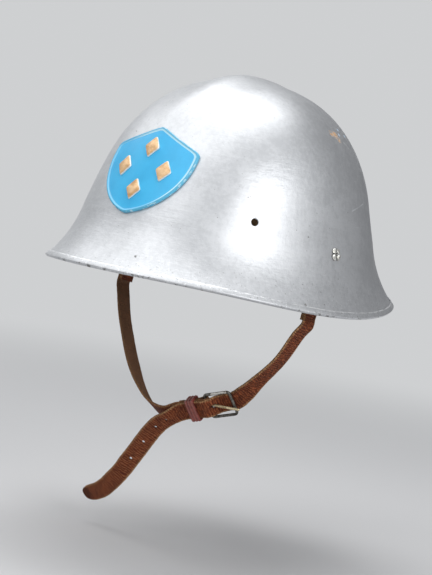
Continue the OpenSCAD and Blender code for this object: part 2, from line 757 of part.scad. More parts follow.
// Ribbon of leather along a route, with its corners taken off, pointed by tip mm
module ribbon(route, w, t, tip = 0) {
  rows = smooth(route);
  n = len(rows);
  c = t * 0.22;
  function along(i) = unit(rows[min(n - 1, i + 1)][0] - rows[max(0, i - 1)][0]);
  function across(i) = let (e = rows[i][1], d = along(i)) unit(e - (e * d) * d);
  function half(i) = tip == 0 ? w / 2 :
    let (left = norm(rows[n - 1][0] - rows[i][0]))
    left > tip ? w / 2 : w / 2 * (0.3 + 0.7 * sqrt(1 - pow(1 - left / tip, 2)));
  section = [[1, -1], [1, 1], [-1, 1], [-1, -1]];
  function corners(i) =
    let (h = half(i), e = across(i), o = cross(along(i), e))
    [for (s = section) for (k = s[0] * s[1] > 0 ? [0, 1] : [1, 0])
      rows[i][0] + e * s[0] * (h - (k == 0 ? 0 : 0.6)) + o * s[1] * (t / 2 - (k == 0 ? c : 0))];
  points = [for (i = [0 : n - 1]) for (p = corners(i)) p];
  cols = 8;
  ends = concat(
    [for (k = [1 : cols - 2]) [0, k, k + 1]],
    [for (k = [1 : cols - 2]) [(n - 1) * cols, (n - 1) * cols + k + 1, (n - 1) * cols + k]]);
  polyhedron(points = points, faces = concat(ends, grid_faces(n, cols, 0, true, false)));
}

// Where the single strap leaves the doubled one at a hanger
function hanger_end(side, down, out) =
  [side * (hanger_x + out), 0, rivet_z] + (hanger_len + down) * strap_down;
cheek = [[[87, -12, -36], strap_edge], [[77, -14.5, -56], strap_edge],
  [[62, -17, -75], [0.05, 0.88, -0.4]], [[52.4, -18, -86.2], [0.19, 0.64, -0.7]]];
tail = [[[-4, -29.5, -116], [0.16, 0.76, -0.63]], [[-12, -29.5, -121.5], [0.28, 0.72, -0.63]],
  [[-20, -28.5, -129.5], [0.45, 0.63, -0.63]], [[-29, -27.5, -142], [0.55, 0.56, -0.6]],
  [[-39.5, -26.5, -157], [0.6, 0.53, -0.58]], [[-51, -26, -173], [0.6, 0.53, -0.55]],
  [[-65, -25.5, -187], [0.56, 0.53, -0.6]], [[-81, -25.5, -194.5], [0.5, 0.53, -0.66]]];

long_route = concat(
  [for (d = [-3, 3]) [hanger_end(1, fold_len + d, strap_t / 2), strap_edge]],
  cheek,
  [for (q = [[-buckle_len, under_far], [5 - buckle_len, under_far + 0.15], [-9.5, -1.3],
      [-5, 2.2], [0, over_hinge], [3.5, over_hinge - 0.4], [7, over_double], [14, over_double],
      [straight_to, over_double]])
    [buckle_point(q[0], q[1]), buckle_edge]],
  tail);

short_route = concat(
  [for (d = [-4, 3]) [buckle_point(short_double + d, strap_t / 2), buckle_edge]],
  [[[-11, -26.5, -114], [0.2, 0.65, -0.7]], [[-27, -26, -110.5], [0.08, 0.8, -0.55]],
    [[-43, -23.5, -100], [0, 0.9, -0.4]], [[-57, -20.5, -85.5], strap_edge],
    [[-69, -17.5, -69], strap_edge], [[-80, -14.5, -51], strap_edge],
    [[-87, -12, -36], strap_edge]],
  [for (d = [3, -3]) [hanger_end(-1, fold_len + d, strap_t / 2), strap_edge]]);

// Adjusting holes in the free end: places along its route
tail_from = 16;
tail_holes = [-0.6, 0.6, 1.85, 2.9];
function tail_spot(k) =
  let (i = tail_from + floor(k), t = k - floor(k))
  spline(knot(long_route, i - 1), knot(long_route, i), knot(long_route, i + 1),
    knot(long_route, i + 2), t);

module tail_hole(k) {
  here = tail_spot(k);
  d = unit(tail_spot(k + 0.1)[0] - tail_spot(k - 0.1)[0]);
  e = unit(here[1] - (here[1] * d) * d);
  frame_at(here[0], d, e, cross(d, e))
    cylinder(r = hole_r, h = 4 * strap_t, center = true, $fn = 24);
}

// Room for the prong to swing through the long strap
prong_open = 20;
module prong_room() {
  hull() for (a = [0, prong_open])
    on_buckle() rotate([0, a, 0]) prong_stick(prong_r + soft_gap + 0.25, 3, 13);
}

// The prong's stick, rising from beside the hinge bar to lie on the far bar, set askew
prong_side = -2;
prong_skew = 15;
prong_rise = wire_r + prong_r + 0.05;
module prong_stick(r, from, to) {
  translate([0, prong_side, 0]) rotate([0, 0, -prong_skew])
    rotate([0, -90 + atan2(prong_rise, buckle_len), 0]) translate([0, 0, from])
      cylinder(r = r, h = to - from, $fn = 24);
}

module long_strap() {
  color(leather) difference() {
    union() {
      hanger_fold(1);
      ribbon(long_route, strap_w - 0.2, strap_t - 0.1, 10);
    }
    rivet_bore(1);
    prong_room();
    for (k = tail_holes) tail_hole(k);
  }
}

// Strap folded round the hinge bar, in section, with its doubled length
fold_lead = 7;
module buckle_fold() {
  on_buckle() rotate([90, 0, 0]) translate([0, 0, -strap_w / 2])
    linear_extrude(strap_w) union() {
      hull() {
        circle(r = bar_fold_r + strap_t);
        translate([fold_lead, -strap_t]) square([tiny, 2 * strap_t]);
      }
      translate([fold_lead - 1, -strap_t]) square([short_double - fold_lead + 1, 2 * strap_t]);
    }
}

module short_strap() {
  color(leather) difference() {
    union() {
      hanger_fold(-1);
      ribbon(short_route, strap_w - 0.2, strap_t - 0.1);
      buckle_fold();
    }
    rivet_bore(-1);
    on_buckle() rotate([90, 0, 0]) cylinder(r = bar_fold_r, h = strap_w + 2, center = true);
    on_buckle() translate([-6, prong_side - 2, -6]) cube([9.5, 4, 12]);
  }
}

// Rivet through the doubled strap under each hanger
strap_rivet_down = 12.5;
strap_rivet_r = 1.3;
module rivet_bore(side) {
  on_hanger(side, hanger_len + strap_rivet_down) drill(strap_rivet_r + seat_gap, 24);
}

module strap_rivets() {
  cap = 0.9;
  cap_r = 3;
  color(brass) for (side = [-1, 1])
    on_hanger(side, hanger_len + strap_rivet_down) {
      cylinder(r = strap_rivet_r, h = 2 * (strap_t + seat_gap) + cap, center = true, $fn = 24);
      for (face = [0, 1])
        mirror([0, 0, face]) translate([0, 0, strap_t + seat_gap]) cylinder(r = cap_r, h = cap, $fn = 24);
    }
}

// Wire frame: two bars, two rails and four bent corners
rail_y = strap_w / 2 + wire_r + 0.9;
bend_r = 2.5;
module buckle_frame() {
  color(steel) on_buckle() {
    for (x = [0, -buckle_len])
      translate([x, 0, 0]) rotate([90, 0, 0])
        cylinder(r = wire_r, h = 2 * (rail_y - bend_r), center = true, $fn = 24);
    for (side = [-1, 1])
      translate([-buckle_len / 2, side * rail_y, 0]) rotate([0, 90, 0])
        cylinder(r = wire_r, h = buckle_len - 2 * bend_r, center = true, $fn = 24);
    for (i = [0 : 3])
      translate([i == 0 || i == 3 ? -bend_r : bend_r - buckle_len,
          (i < 2 ? 1 : -1) * (rail_y - bend_r), 0])
        rotate([0, 0, 90 * i]) rotate_extrude(angle = 90)
          translate([bend_r, 0]) circle(r = wire_r, $fn = 24);
  }
}

module buckle_prong() {
  loop_r = wire_r + run_gap + 0.9;
  color(brass) on_buckle() difference() {
    union() {
      translate([0, prong_side, 0]) rotate([90, 0, 0])
        cylinder(r = loop_r, h = 3, center = true, $fn = 32);
      prong_stick(prong_r, 1, prong_len - prong_r);
      translate([0, prong_side, 0]) rotate([0, 0, -prong_skew])
        rotate([0, -90 + atan2(prong_rise, buckle_len), 0])
          translate([0, 0, prong_len - prong_r]) sphere(r = prong_r, $fn = 24);
    }
    translate([0, prong_side, 0]) rotate([90, 0, 0])
      cylinder(r = wire_r + run_gap, h = 4, center = true, $fn = 32);
  }
}

// Leather loop that holds the free end against the short strap, with ridges round it
keeper_t = 1.4;
keeper_from = 7.5;
keeper_groove = 0.4;
keeper_ridge_share = 0.76;
module keeper_loop(t, from, to) {
  low = -strap_t - soft_gap;
  high = over_double + strap_t / 2 + soft_gap;
  half = strap_w / 2 + soft_gap;
  translate([from, 0, 0]) rotate([90, 0, 90]) linear_extrude(to - from) difference() {
    hull() for (y = [-half, half]) for (z = [low, high])
      translate([y, z]) circle(r = t, $fn = 24);
    translate([-half, low]) square([2 * half, high - low]);
  }
}

module strap_keeper() {
  pitch = keeper_len / keeper_ridges;
  ridge = keeper_ridge_share * pitch;
  color(leather) on_buckle() translate([keeper_from, 0, 0]) {
    keeper_loop(keeper_t - keeper_groove, 0, keeper_len);
    for (i = [0 : keeper_ridges - 1])
      keeper_loop(keeper_t, (i + 0.5) * pitch - ridge / 2, (i + 0.5) * pitch + ridge / 2);
  }
}

shell();
rim_band();
badge_shield();
badge_lozenges();
badge_nuts();
split_rivets();
rivet_spacers();
liner_band();
felt_pads();
sweatband();
crown_fingers();
drawcord();
band_rivets();
left_hanger();
right_hanger();
long_strap();
short_strap();
strap_rivets();
buckle_frame();
buckle_prong();
strap_keeper();
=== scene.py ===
import math
import bmesh
import bpy
import numpy as np
from mathutils import Matrix, Vector, kdtree


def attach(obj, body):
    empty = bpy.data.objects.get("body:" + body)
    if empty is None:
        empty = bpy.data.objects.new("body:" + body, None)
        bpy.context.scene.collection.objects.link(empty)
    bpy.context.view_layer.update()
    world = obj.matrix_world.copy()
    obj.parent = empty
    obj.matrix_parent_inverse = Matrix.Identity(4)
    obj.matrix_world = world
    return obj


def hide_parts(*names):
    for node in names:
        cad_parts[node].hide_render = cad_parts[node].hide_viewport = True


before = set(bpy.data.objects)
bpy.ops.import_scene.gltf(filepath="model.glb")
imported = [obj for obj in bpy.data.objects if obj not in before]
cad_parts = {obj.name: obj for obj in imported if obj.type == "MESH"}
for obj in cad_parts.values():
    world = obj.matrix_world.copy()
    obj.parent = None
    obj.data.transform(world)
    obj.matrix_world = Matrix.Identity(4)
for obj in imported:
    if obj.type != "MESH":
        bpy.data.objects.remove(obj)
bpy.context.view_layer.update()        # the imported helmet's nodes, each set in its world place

# Sizes of pieces are millimetres in the imported helmet's own frame, and become metres in solidMesh.
# The studio's sizes are metres
mm = 0.001
dice = np.random.RandomState(17)


# Shader sockets and finishes

class Wire:
    # an output socket that can stand in sums and products
    def __init__(self, finish, socket):
        self.finish = finish
        self.socket = socket

    def __add__(self, other):
        return self.finish.maths("ADD", self, other)

    def __radd__(self, other):
        return self.finish.maths("ADD", other, self)

    def __sub__(self, other):
        return self.finish.maths("SUBTRACT", self, other)

    def __rsub__(self, other):
        return self.finish.maths("SUBTRACT", other, self)

    def __mul__(self, other):
        return self.finish.maths("MULTIPLY", self, other)

    def __rmul__(self, other):
        return self.finish.maths("MULTIPLY", other, self)

    def __abs__(self):
        return self.finish.maths("ABSOLUTE", self, 0)


class Wiring:
    # short ways to put nodes in a tree
    def __init__(self, tree):
        self.tree = tree
        self.tree.nodes.clear()

    def join(self, value, socket):
        if isinstance(value, Wire):
            self.tree.links.new(value.socket, socket)
        elif hasattr(socket.default_value, "__len__") and len(value) < len(socket.default_value):
            socket.default_value = (*value, 1)
        else:
            socket.default_value = value

    def node(self, kind, settings=None, inputs=None, output=0):
        made = self.tree.nodes.new(kind)
        for key, value in (settings or {}).items():
            setattr(made, key, value)
        for key, value in (inputs or {}).items():
            self.join(value, made.inputs[key])
        return Wire(self, made.outputs[output])

    def maths(self, operation, a, b):
        return self.node("ShaderNodeMath", {"operation": operation}, {0: a, 1: b})

    def vector(self, operation, a, b, output=0):
        return self.node("ShaderNodeVectorMath", {"operation": operation}, {0: a, 1: b}, output)

    def larger(self, a, b):
        return self.maths("MAXIMUM", a, b)

    def fade(self, value, low, high):
        inputs = {"Value": value, "From Min": low, "From Max": high}
        return self.node("ShaderNodeMapRange", {"interpolation_type": "SMOOTHSTEP"}, inputs)

    def blendColour(self, share, a, b):
        settings = {"data_type": "RGBA"}
        return self.node("ShaderNodeMix", settings, {0: share, 6: a, 7: b}, output=2)


socketNames = {
    "colour": "Base Color",
    "normal": "Normal",
    "rough": "Roughness",
    "metal": "Metallic",
    "coat": "Coat Weight",
    "coatRough": "Coat Roughness",
    "sheen": "Sheen Weight",
    "gloss": "Specular IOR Level",
}


class Finish(Wiring):
    # a material with one principled shader, and its colours by their names in look
    def __init__(self, name, look=None):
        self.material = bpy.data.materials.new(name)
        self.material.use_nodes = True
        super().__init__(self.material.node_tree)
        self.shader = self.tree.nodes.new("ShaderNodeBsdfPrincipled")
        self.end = self.tree.nodes.new("ShaderNodeOutputMaterial")
        self.show(self.shader.outputs[0])
        self.look = look
        self.colour = None
        self.normal = None

    def show(self, socket):
        self.tree.links.new(socket, self.end.inputs[0])

    def place(self):
        return self.node("ShaderNodeTexCoord", output="Object")

    def laid(self):
        return self.node("ShaderNodeAttribute", {"attribute_name": "lay"}, output="Vector")

    def parts(self, vector):
        split = self.node("ShaderNodeSeparateXYZ", inputs={0: vector})
        return [Wire(self, socket) for socket in split.socket.node.outputs]

    def noise(self, vector, scale, detail=3, rough=0.55, warp=0):
        # scale is one number, or three for a pattern that runs one way
        if isinstance(scale, tuple):
            vector = self.vector("MULTIPLY", vector, scale)
            scale = 1
        inputs = {"Vector": vector, "Scale": scale, "Detail": detail, "Roughness": rough}
        return self.node("ShaderNodeTexNoise", inputs={**inputs, "Distortion": warp})

    def nearPoint(self, here, point, inner, outer):
        reach = self.vector("DISTANCE", here, [c * mm for c in point], "Value")
        return 1 - self.fade(reach, inner * mm, outer * mm)

    def nearAny(self, here, points, inner, outer):
        # 1 within inner of one of the points, and 0 past outer
        found = 0
        for point in points:
            found = self.larger(self.nearPoint(here, point, inner, outer), found)
        return found

    def nearLine(self, here, start, end, inner, outer):
        first = [c * mm for c in start]
        way = [(b - a) * mm for a, b in zip(start, end)]
        size = sum(c * c for c in way)
        along = self.vector("DOT_PRODUCT", self.vector("SUBTRACT", here, first), way, "Value")
        share = self.node("ShaderNodeClamp", inputs={0: along * (1 / size)})
        step = self.node("ShaderNodeVectorMath", {"operation": "SCALE"}, {0: way, "Scale": share})
        reach = self.vector("DISTANCE", here, self.vector("ADD", step, first), "Value")
        return 1 - self.fade(reach, inner * mm, outer * mm)

    def fromMiddle(self, near, far):
        # 0 to 1 between two distances from the object's middle
        here = self.place()
        return self.fade(self.vector("LENGTH", here, here, "Value"), near, far)

    def ground(self, share, low, high):
        # the first coat, between two colours of the look
        self.colour = self.blendColour(share, self.look[low], self.look[high])

    def cover(self, share, name):
        # another colour of the look over what is there
        self.colour = self.blendColour(share, self.colour, self.look[name])

    def emboss(self, height, depth, strength=1):
        # a bump over the ones before it
        inputs = {"Height": height, "Distance": depth * mm, "Strength": strength}
        if self.normal:
            inputs["Normal"] = self.normal
        self.normal = self.node("ShaderNodeBump", inputs=inputs)

    def surface(self, **sockets):
        for key, value in {"colour": self.colour, "normal": self.normal, **sockets}.items():
            if value is not None:
                self.join(value, self.shader.inputs[socketNames[key]])
        return self.material


# Meshes

def unit(v):
    v = np.asarray(v, float)
    return v / np.linalg.norm(v, axis=-1, keepdims=True)


def gridFaces(rows, cols, start=0, flip=False):
    # quads between closed rings of points
    faces = []
    for i in range(rows - 1):
        for j in range(cols):
            a = start + i * cols + j
            b = start + i * cols + (j + 1) % cols
            quad = (a, b, b + cols, a + cols)
            faces.append(quad[::-1] if flip else quad)
    return faces


def loft(rings, lay=None, loop=False):
    # closed skin through rings of shape (rows, points in a ring, 3)
    rings = np.asarray(rings, float)
    rows, cols = rings.shape[:2]
    faces = gridFaces(rows, cols)
    if loop:
        last = (rows - 1) * cols
        faces += [(last + j, last + (j + 1) % cols, (j + 1) % cols, j) for j in range(cols)]
    else:
        faces.append(tuple(range(cols))[::-1])
        faces.append(tuple((rows - 1) * cols + j for j in range(cols)))
    lay = np.zeros(rings.shape) if lay is None else np.broadcast_to(lay, rings.shape)
    return rings.reshape(-1, 3), faces, np.reshape(lay, (-1, 3))


def merge(*parts):
    points, faces, lays, start = [], [], [], 0
    for part in parts:
        points.append(part[0])
        faces += [tuple(start + k for k in face) for face in part[1]]
        lays.append(part[2])
        start += len(part[0])
    return np.concatenate(points), faces, np.concatenate(lays)


def placed(points, at, x, y, z):
    return np.asarray(points, float) @ np.array([x, y, z], float) + np.asarray(at, float)


def roundTurns(count):
    # angles of even steps round a circle
    return np.arange(count) * 2 * math.pi / count


def lathe(profile, at, x, y, z, sides=32):
    # a turned piece: profile rows of (radius, height) along z
    turn = roundTurns(sides)
    rings = [np.stack([r * np.cos(turn), r * np.sin(turn), np.full(sides, h)], -1) for r, h in profile]
    lay = [np.full((sides, 3), (r, h, 0)) for r, h in profile]
    return loft(placed(rings, at, x, y, z), lay)


def squareTo(direction, lean=(0, 0, 1)):
    # two directions square to one, the first level where it can be
    side = np.cross(lean, direction)
    if np.linalg.norm(side) < 1e-6:
        side = np.cross((0, 1, 0), direction)
    side = unit(side)
    return side, np.cross(direction, side)


def pathWay(path, loop=False):
    return unit(np.roll(path, -1, 0) - np.roll(path, 1, 0) if loop else np.gradient(path, axis=0))


def tube(path, radius, sides=10, loop=False, flat=1, lean=(0, 0, 1)):
    # round or flattened rod along a path, with a radius for each point
    path = np.asarray(path, float)
    radius = np.broadcast_to(radius, len(path))
    way = pathWay(path, loop)
    turn = roundTurns(sides)
    rings = []
    for i, point in enumerate(path):
        side, up = squareTo(way[i], lean)
        ring = np.outer(np.cos(turn), side) + np.outer(flat * np.sin(turn), up)
        rings.append(point + radius[i] * ring)
    return loft(rings, loop=loop)


def softLoop(across, corner, rounds):
    # outline of a flat band, from -1 to 1 both ways, with its two edges rounded
    s = np.linspace(corner - 1, 1 - corner, across)
    turn = np.linspace(90, -90, rounds + 2)[1:-1] * math.pi / 180
    edge = 1 - corner + corner * np.cos(turn)
    width = np.concatenate([s, edge, s[::-1], -edge])
    depth = np.concatenate([np.ones(across), np.sin(turn), -np.ones(across), -np.sin(turn)])
    return width, depth


def drift(count, grain, size):
    # smooth random values along a row
    knots = dice.uniform(-1, 1, count // grain + 2)
    at = np.arange(count) / grain
    low = at.astype(int)
    t = at - low
    t = t * t * (3 - 2 * t)
    return size * (knots[low] * (1 - t) + knots[low + 1] * t)


def newObject(name, data):
    made = bpy.data.objects.new(name, data)
    bpy.context.scene.collection.objects.link(made)
    return made


def solidMesh(name, points, faces):
    # a mesh in metres whose faces all look outwards
    mesh = bpy.data.meshes.new(name)
    mesh.from_pydata((points * mm).tolist(), [], faces)
    work = bmesh.new()
    work.from_mesh(mesh)
    bmesh.ops.recalc_face_normals(work, faces=work.faces)
    work.to_mesh(mesh)
    work.free()
    return mesh


def setLay(mesh, lay):
    # three values for each point, which the finishes read
    notes = mesh.attributes.new("lay", "FLOAT_VECTOR", "POINT")
    notes.data.foreach_set("vector", np.asarray(lay, np.float32).ravel())


def addPiece(name, part, material, body, sharp=35, stands=()):
    # part is points, faces and lay; stands names the nodes whose place the piece takes
    points, faces, lay = part
    mesh = solidMesh(name, points, faces)
    setLay(mesh, lay)
    mesh.shade_smooth()
    mesh.set_sharp_from_angle(angle=math.radians(sharp))
    mesh.materials.append(material)
    made = newObject(name, mesh)
    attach(made, body)
    if stands:
        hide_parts(*stands)
    return made


def applyModifiers(made):
    bpy.context.view_layer.update()
    view = bpy.context.evaluated_depsgraph_get()
    made.data = bpy.data.meshes.new_from_object(made.evaluated_get(view))
    made.modifiers.clear()


def cutAway(made, cutters, sharp=35):
    # takes solids out of a piece and gives the new points the lay of their neighbours
    lay = np.zeros(len(made.data.vertices) * 3, np.float32)
    made.data.attributes["lay"].data.foreach_get("vector", lay)
    lay = lay.reshape(-1, 3)
    before = kdtree.KDTree(len(lay))
    for i, vertex in enumerate(made.data.vertices):
        before.insert(vertex.co, i)
    before.balance()
    points, faces = merge(*cutters)[:2]
    tool = newObject("cutter", solidMesh("cutter", points, faces))
    cut = made.modifiers.new("cut", "BOOLEAN")
    cut.operation = "DIFFERENCE"
    cut.solver = "EXACT"
    cut.object = tool
    applyModifiers(made)
    bpy.data.objects.remove(tool)
    mesh = made.data
    if "lay" in mesh.attributes:
        mesh.attributes.remove(mesh.attributes["lay"])
    setLay(mesh, [lay[before.find(vertex.co)[1]] for vertex in mesh.vertices])
    mesh.set_sharp_from_angle(angle=math.radians(sharp))


# The shell's surface, from three lines down its front, side and rear. A line falls from the crown,
# reaches out to wall at the height top, and flares from flareTop out to rim at rimHeight

dome = {
    "crown": 142,
    "plate": 1.4,
    "front": {"wall": 111, "top": 29.5, "rim": 142.5, "rimHeight": -7.5, "flareTop": 81,
              "reachPower": 0.95, "heightPower": 1.11, "flarePower": 2.5},
    "side": {"wall": 95.5, "top": 37.8, "rim": 119.75, "rimHeight": -16, "flareTop": 65,
             "reachPower": 0.80, "heightPower": 1.08, "flarePower": 2.6},
    "rear": {"wall": 109.5, "top": 34, "rim": 146, "rimHeight": -3, "flareTop": 61,
             "reachPower": 0.85, "heightPower": 1.11, "flarePower": 1.7},
    "domePower": 2.2,
    "rimPower": 2.09,
    "quarterLift": 2,
    "keel": 3.7,
    "keelHalf": 14,
    "keelFrom": 50,
    "keelRise": 60,
}


def lineHeight(line, run):
    turn = np.clip(run, 0, 1) * math.pi / 2
    onDome = line["top"] + (dome["crown"] - line["top"]) * np.cos(turn) ** line["heightPower"]
    return np.where(run <= 1, onDome, line["top"] + (line["rimHeight"] - line["top"]) * (run - 1))


def lineReach(line, run):
    turn = np.clip(run, 0, 1) * math.pi / 2
    wall = np.where(run <= 1, np.sin(turn) ** line["reachPower"], 1) * line["wall"]
    fallen = (line["flareTop"] - lineHeight(line, run)) / (line["flareTop"] - line["rimHeight"])
    return wall + (line["rim"] - line["wall"]) * np.maximum(0, fallen) ** line["flarePower"]


def ovalReach(c, s, power):
    return (np.abs(c) ** power + np.abs(s) ** power) ** (-1 / power)


def shellPoint(angle, run):
    # angle in degrees round from the front; run 0 to 1 down the dome, 1 to 2 down the wall
    turn = np.radians(angle)
    c = np.cos(turn)
    s = np.sin(turn)
    wall = np.maximum(run - 1, 0)
    power = dome["domePower"] + (dome["rimPower"] - dome["domePower"]) * wall
    k = ovalReach(c, s, power)
    reach = np.where(c > 0, lineReach(dome["front"], run), lineReach(dome["rear"], run))
    height = np.where(c > 0, lineHeight(dome["front"], run), lineHeight(dome["rear"], run))
    share = c * c
    x = lineReach(dome["side"], run) * s * k
    z = share * height + (1 - share) * lineHeight(dome["side"], run)
    z = z + 4 * share * (1 - share) * dome["quarterLift"] * wall ** 2
    keel = np.clip((z - dome["keelFrom"]) / dome["keelRise"], 0, 1)
    return np.stack([x, -reach * c * k, z + dome["keel"] * np.exp(-(x / dome["keelHalf"]) ** 2) * keel], -1)


runStep = 0.01      # for slopes of the surface along run


def shellNormal(angle, run):
    angle, run = np.broadcast_arrays(np.asarray(angle, float), np.asarray(run, float))
    safe = np.maximum(run, 2 * runStep)
    down = shellPoint(angle, safe + runStep) - shellPoint(angle, safe - runStep)
    sideways = shellPoint(angle + 1, safe) - shellPoint(angle - 1, safe)
    return np.where(run[..., None] < 2 * runStep, (0.0, 0.0, 1.0), unit(np.cross(down, sideways)))


def shellOffset(angle, run, height):
    height = np.asarray(height, float)
    return shellPoint(angle, run) + height[..., None] * shellNormal(angle, run)


def findRun(angle, height):
    # the run at which the surface is at a height, by halving
    low, high = 0.3, 1.9
    for step in range(30):
        middle = (low + high) / 2
        if shellPoint(angle, middle)[2] > height:
            low = middle
        else:
            high = middle
    return low


# Finishes. A noise's scale is per metre, and per millimetre where it follows the strap's lay

silverLook = {
    "shade": (0.492, 0.504, 0.522),
    "light": (0.568, 0.580, 0.598),
    "speck": (0.33, 0.33, 0.335),
    "pit": (0.10, 0.095, 0.09),
    "primer": (0.52, 0.32, 0.17),
    "bare": (0.72, 0.735, 0.75),
    "fleck": (0.50, 0.64, 0.80),
    "scratched": (0.76, 0.78, 0.80),
    # flake is also the paler end of the rim's fold, partly a painted highlight
    "flake": (0.80, 0.81, 0.82),
    "wornSpots": [(70.4, 15.4, 110.9, 4.4), (72.1, 18.4, 107.8, 3.0), (70.3, 9.5, 111.6, 3.2)],
    "flecks": [(64.2, 24.9, 115.8), (64.4, 34.8, 112.3), (68.6, 22.6, 112.3)],
    "paleLine": ((71.7, 25.4, 106.8), (72.5, 31.8, 103.3)),
    "scratch": ((92.3, 21.3, 58.6), (86.5, 41.5, 65.0)),
    "chips": [(111.7, -42.9, -10.3), (27.1, -130.3, 3.6), (-41, -126, 1), (118, -8, -14.2), (60, -112, -2)],
}


def shellWear(paint, here, ragged):
    # places on the outside where the paint is worn through, flecked or scratched
    outside = paint.parts(paint.laid())[0]
    worn = 0
    for *spot, reach in silverLook["wornSpots"]:
        worn = paint.larger(paint.nearPoint(ragged, spot, reach * 0.55, reach), worn)
    torn = paint.noise(here, (420, 420, 190), detail=3, rough=0.7, warp=0.5)
    worn = worn * paint.fade(torn, 0.38, 0.52) * outside
    paint.cover(worn * 0.95, "primer")
    fleck = paint.nearAny(ragged, silverLook["flecks"], 0.8, 1.7) * outside
    paint.cover(fleck, "fleck")
    line = paint.nearLine(here, *silverLook["paleLine"], 0.25, 0.9)
    line = paint.larger(line, paint.nearLine(here, *silverLook["scratch"], 0.3, 0.8)) * outside
    paint.cover(line * 0.7, "scratched")
    return worn, fleck


def rimWear(paint, here):
    # paler along the end of the fold, partly worn paint and partly a painted highlight, and chipped round
    # its edge; lay holds the place in the section
    wear = paint.noise(here, 160, detail=4, rough=0.7)
    back, lift = paint.parts(paint.laid())[:2]
    # paler along the fold's end: worn paint, and partly a painted highlight of that edge
    crease = paint.fade(back, 2.7, 3.4) * paint.fade(lift, -0.2, 0.4)
    paint.cover(crease * paint.fade(wear, 0.40, 0.56), "flake")
    return (1 - paint.fade(back, -0.7, 0.4)) * paint.fade(wear, 0.57, 0.64)


def silverPaint(name, atEdge):
    paint = Finish(name, silverLook)
    here = paint.place()
    cloud = paint.noise(here, 17, detail=5, rough=0.6, warp=0.4)
    patch = paint.noise(here, 90, detail=4, rough=0.6)
    fine = paint.noise(here, 330, detail=3, rough=0.65)
    grain = paint.noise(here, 900, detail=2)
    streak = paint.noise(here, (55, 55, 900), detail=3, warp=0.2)
    paint.ground(paint.fade(cloud * 0.30 + patch * 0.30 + fine * 0.40, 0.40, 0.60), "shade", "light")
    speck = paint.fade(fine, 0.60, 0.72) * paint.fade(patch, 0.40, 0.62)
    paint.cover(speck * (0.9 if atEdge else 0.18), "speck")
    scuff = paint.fade(streak, 0.64, 0.73) * paint.fade(patch, 0.42, 0.65)
    paint.cover(scuff * 0.5, "bare")
    pits = paint.fade(paint.noise(here, 520, detail=1), 0.75, 0.79) * paint.fade(cloud, 0.40, 0.58)
    paint.cover(pits * 0.75, "pit")
    rag = (patch + fine * 0.5 - 0.75) * 0.004
    ragged = paint.vector("ADD", here, paint.node("ShaderNodeCombineXYZ", inputs={0: rag, 1: rag, 2: rag}))
    worn, fleck = (0, 0) if atEdge else shellWear(paint, here, ragged)
    chip = paint.nearAny(ragged, silverLook["chips"], 0.5, 1.5)
    low = 1 - paint.fade(paint.parts(here)[2] + cloud * 0.02, 0.002, 0.030)
    flakes = paint.fade(paint.noise(here, 560, detail=3, rough=0.7), 0.57, 0.65)
    paint.cover(flakes * (0.6 if atEdge else low * 0.3), "flake")
    dots = paint.fade(paint.noise(here, 620, detail=1), 0.68, 0.73)
    paint.cover(dots * (0.55 if atEdge else low * 0.385), "pit")
    if atEdge:
        chip = paint.larger(chip, rimWear(paint, here))
    paint.cover(chip * 0.85, "pit")
    paint.emboss(paint.noise(here, 30, detail=2), 0.20, 0.7)
    paint.emboss(paint.noise(here, (70, 70, 460), detail=3, rough=0.6, warp=0.3), 0.14, 0.9)
    paint.emboss(grain + patch * 2 + fine * 3, 0.045, 0.8)
    paint.emboss(1 - paint.larger(worn, chip), 0.12)
    rough = 0.36 + cloud * 0.05 + fine * 0.11 + worn * 0.25 + chip * 0.2
    return paint.surface(rough=rough, metal=0.74 - 0.6 * paint.larger(worn, paint.larger(chip, fleck)))


enamelLook = {
    "field": (0.052, 0.50, 0.86),
    "deep": (0.040, 0.44, 0.79),
    # line is the colour of a painted highlight along the raised edge
    "line": (0.55, 0.88, 1.0),
    # a darker blue for painted shade on the outer slope of the raised edge
    "strip": (0.13, 0.43, 0.58),
    "worn": (0.66, 0.80, 0.86),
    "speck": (0.03, 0.17, 0.42),
    "stud": (0.42, 0.41, 0.39),
}


def blueEnamel():
    # lay holds the share of the outline, from 0 in the middle to 1 at the edge, and the height
    paint = Finish("blue enamel", enamelLook)
    here = paint.place()
    share, height = paint.parts(paint.laid())[:2]
    x, z = paint.parts(here)[::2]
    cloud = paint.noise(here, 60, detail=4)
    flake = paint.noise(here, 260, detail=4, rough=0.7)
    paint.ground(paint.fade(cloud, 0.3, 0.7), "deep", "field")
    # painted shade: a darker strip on the outer slope of the raised edge
    paint.cover(paint.fade(share, 0.950, 0.965) * (0.45 + flake * 0.5), "strip")
    # painted highlight: a pale line along the raised edge, brighter towards the upper right where the light
    # falls
    bright = paint.fade(x + z, 0.050, 0.082)
    ring = paint.fade(share, 0.908, 0.926) * (1 - paint.fade(share, 0.946, 0.962))
    paint.cover(ring * (0.30 + bright * 0.65), "line")
    lip = paint.fade(share, 0.965, 0.99) * paint.fade(flake, 0.54, 0.62)
    paint.cover(lip * 0.7, "worn")
    specks = paint.fade(paint.noise(here, 700, detail=1), 0.74, 0.78)
    paint.cover(specks * 0.3, "speck")
    stud = 1 - paint.fade(height, -0.6, -0.4)       # the bare studs behind the plate
    paint.cover(stud, "stud")
    paint.emboss(paint.noise(here, 75, detail=3), 0.18, 0.6)
    paint.emboss(paint.noise(here, 600, detail=2), 0.03, 0.6)
    rough = 0.34 + cloud * 0.16
    return paint.surface(rough=rough, metal=stud * 0.85, coat=0.12, coatRough=0.15, gloss=0.35)


giltLook = {"low": (0.50, 0.27, 0.11), "high": (0.78, 0.54, 0.31), "worn": (0.86, 0.86, 0.82)}


